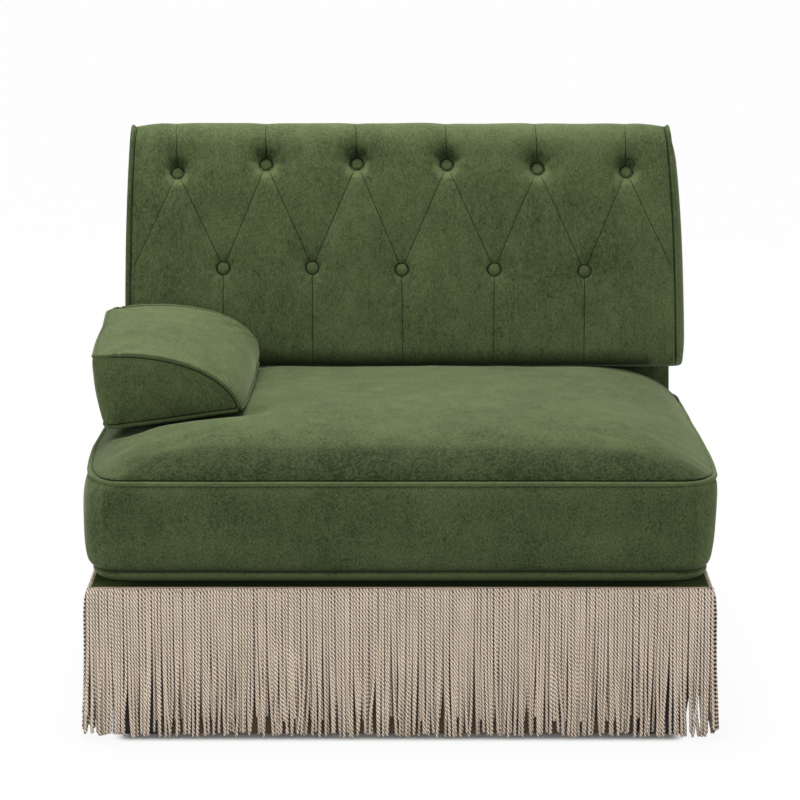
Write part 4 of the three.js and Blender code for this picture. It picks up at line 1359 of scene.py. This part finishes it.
def one_cord():
    """A grid rolled into a closed tube, with its seam merged and its ends filled."""
    bpy.ops.mesh.primitive_grid_add(x_subdivisions=cord_sides, y_subdivisions=cord_steps, size=2)
    cord = bpy.context.object
    flat = points_of(cord)
    angle = flat[:, 0] * math.pi
    move_points(cord, np.column_stack([np.cos(angle), np.sin(angle), flat[:, 1]]))
    bpy.ops.object.mode_set(mode="EDIT")
    bpy.ops.mesh.select_all(action="SELECT")
    bpy.ops.mesh.remove_doubles(threshold=0.0001)
    bpy.ops.mesh.select_all(action="DESELECT")
    bpy.ops.mesh.select_non_manifold(extend=False)
    bpy.ops.mesh.edge_face_add()
    bpy.ops.object.mode_set(mode="OBJECT")
    turned_out(cord)
    bpy.ops.object.shade_smooth()
    return cord


cord_shape = one_cord()
cord_unit = points_of(cord_shape)
cord_step = np.rint((1 - cord_unit[:, 2]) / 2 * cord_steps).astype(int)
cord_uv = np.zeros(2 * len(cord_shape.data.loops), np.float32)
cord_shape.data.uv_layers[0].data.foreach_get("uv", cord_uv)
cord_uv = cord_uv.reshape(-1, 2)
cord_uv[:, 1] = cord_shares[np.rint((1 - cord_uv[:, 1]) * cord_steps).astype(int)]
cotton = bullion("bullion_cotton")

braid_cotton = material("braid_cotton")
place = braid_cotton.place()
picks = braid_cotton.noise(place, 620, 2)
dye = braid_cotton.noise(place, 30, 3)
beige = braid_cotton.blend(picks * 0.7 + dye * 0.3, colour(138, 111, 93), colour(224, 199, 178))
braid_cotton.shader({
    "Base Color": beige,
    "Roughness": 0.88,
    "Specular IOR Level": 0.2,
    "Normal": braid_cotton.bump(picks, 0.6, 0.0008),
})


def hang(centres, radii, lays, start):
    """One copy of the cord along a line of centres, one for each step."""
    copy = cord_shape.copy()
    copy.data = cord_shape.data.copy()
    bpy.context.scene.collection.objects.link(copy)
    spots = centres[cord_step].copy()
    spots[:, 0] += cord_unit[:, 0] * radii[cord_step]
    spots[:, 1] += cord_unit[:, 1] * radii[cord_step]
    move_points(copy, spots)
    uv = cord_uv.copy()
    uv[:, 1] = uv[:, 1] * lays + start
    copy.data.uv_layers[0].data.foreach_set("uv", uv.ravel())
    return copy


def fringe(name, length, out, top, seed):
    """One side of fringe, made along X and facing -Y: cords of two rows under a braid."""
    chance = np.random.default_rng(seed)
    cords = []
    share = cord_shares
    for pitch, back, wild in ((rear_cord_pitch, 0.0034, 0.6), (cord_pitch, 0, 1)):
        count = round(length / pitch)
        tug = np.convolve(chance.normal(0, 1, count + 12), np.ones(4) / 4, "same")[6:-6]
        start = 0
        for i in range(count):
            along = -length / 2 + length / count * (i + 0.5) + chance.normal(0, 0.00035)
            corner = max(0, abs(along) - length / 2 + 0.06) / 0.06
            last = max(0, abs(along) - length / 2 + 0.016) / 0.016
            low = fringe_floor_gap
            if back:
                beside_foot = 0.035 < length / 2 - abs(along) < 0.105
                low = foot_cord_gap if beside_foot else rear_cord_gap
            end = low + 0.008 * chance.uniform(0, 1) ** 1.6 + 0.014 * last * chance.uniform(0.2, 1)
            splay = math.copysign(0.006, along) * corner**2
            lean = chance.normal(0, 0.0026) + 0.0016 * tug[i]
            kink = chance.normal(0, 0.0022) * wild
            wave = np.sin(share * math.pi * chance.uniform(1.2, 2.6) + chance.uniform(0, 6)) - 0.2
            x = along + lean * share**2.2 + splay * share**2 + kink * wave * share**3
            bulk = -0.0080 * ramp(share, 0.06) ** 0.6
            y = out + back + bulk - 0.002 * share**1.6 * wild + chance.normal(0, 0.0032) * share**1.8
            y = y - 0.003 * corner * share**2
            z = top - 0.001 - (top - 0.001 - end) * share
            radii = cord_radius * (1 + 0.03 * chance.normal(0, 1)) * np.ones(cord_steps + 1)
            radii[-1] *= 0.6
            lays = (top - end) / cord_lay * (1 + chance.normal(0, 0.006))
            start += chance.normal(0, 0.15)
            cords.append(hang(np.column_stack([x, y, z]), radii, lays, start))
    only(*cords)
    bpy.ops.object.join()
    piece = bpy.context.object
    piece.name = name
    return piece


def turned(piece, quarter, place):
    only(piece)
    piece.rotation_euler = (0, 0, quarter * math.pi / 2)
    piece.location = place
    bpy.ops.object.transform_apply()


base_low, base_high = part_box("border_front")
rear_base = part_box("border_back")[1].y
braid_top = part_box("fringe_front")[1].z
rear_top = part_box("fringe_back")[1].z
base_middle = (base_low.y + rear_base) / 2
long_side = base_high.x - base_low.x
deep_side = rear_base - base_low.y
fringe_sides = [
    ("front", 0, long_side, (0, base_low.y, 0), braid_top),
    ("right", 1, deep_side, (base_high.x, base_middle, 0), braid_top - side_braid_drop),
    ("back", 2, long_side, (0, rear_base, 0), rear_top),
    ("left", 3, deep_side, (base_low.x, base_middle, 0), braid_top - side_braid_drop),
]
for name, quarter, length, place, top in fringe_sides:
    piece = fringe(f"fringe_cords_{name}", length + 2 * cord_corner, header_line, top, 40 + quarter)
    reach = length / 2 + braid_corner
    line = np.column_stack([
        np.linspace(-reach, reach, 120), np.full(120, -braid_corner), np.full(120, top - braid_radius),
    ])
    braid = welt(f"fringe_braid_{name}", line, braid_radius, False)
    bpy.ops.mesh.primitive_cube_add(size=1, location=(0, sum(tape_faces) / 2, top - tape_drop))
    tape = bpy.context.object
    tape.scale = (length, tape_faces[1] - tape_faces[0], tape_height)
    bpy.ops.object.transform_apply()
    tape.name = f"fringe_tape_{name}"
    for part, finish in ((piece, cotton), (braid, braid_cotton), (tape, braid_cotton)):
        turned(part, quarter, place)
        finished(part, finish, "root")
    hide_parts(f"fringe_{name}")
bpy.data.objects.remove(cord_shape)

size = {
    "cad": [list(corner) for corner in cad_box],
    "visual": [list(corner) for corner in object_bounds()],
}
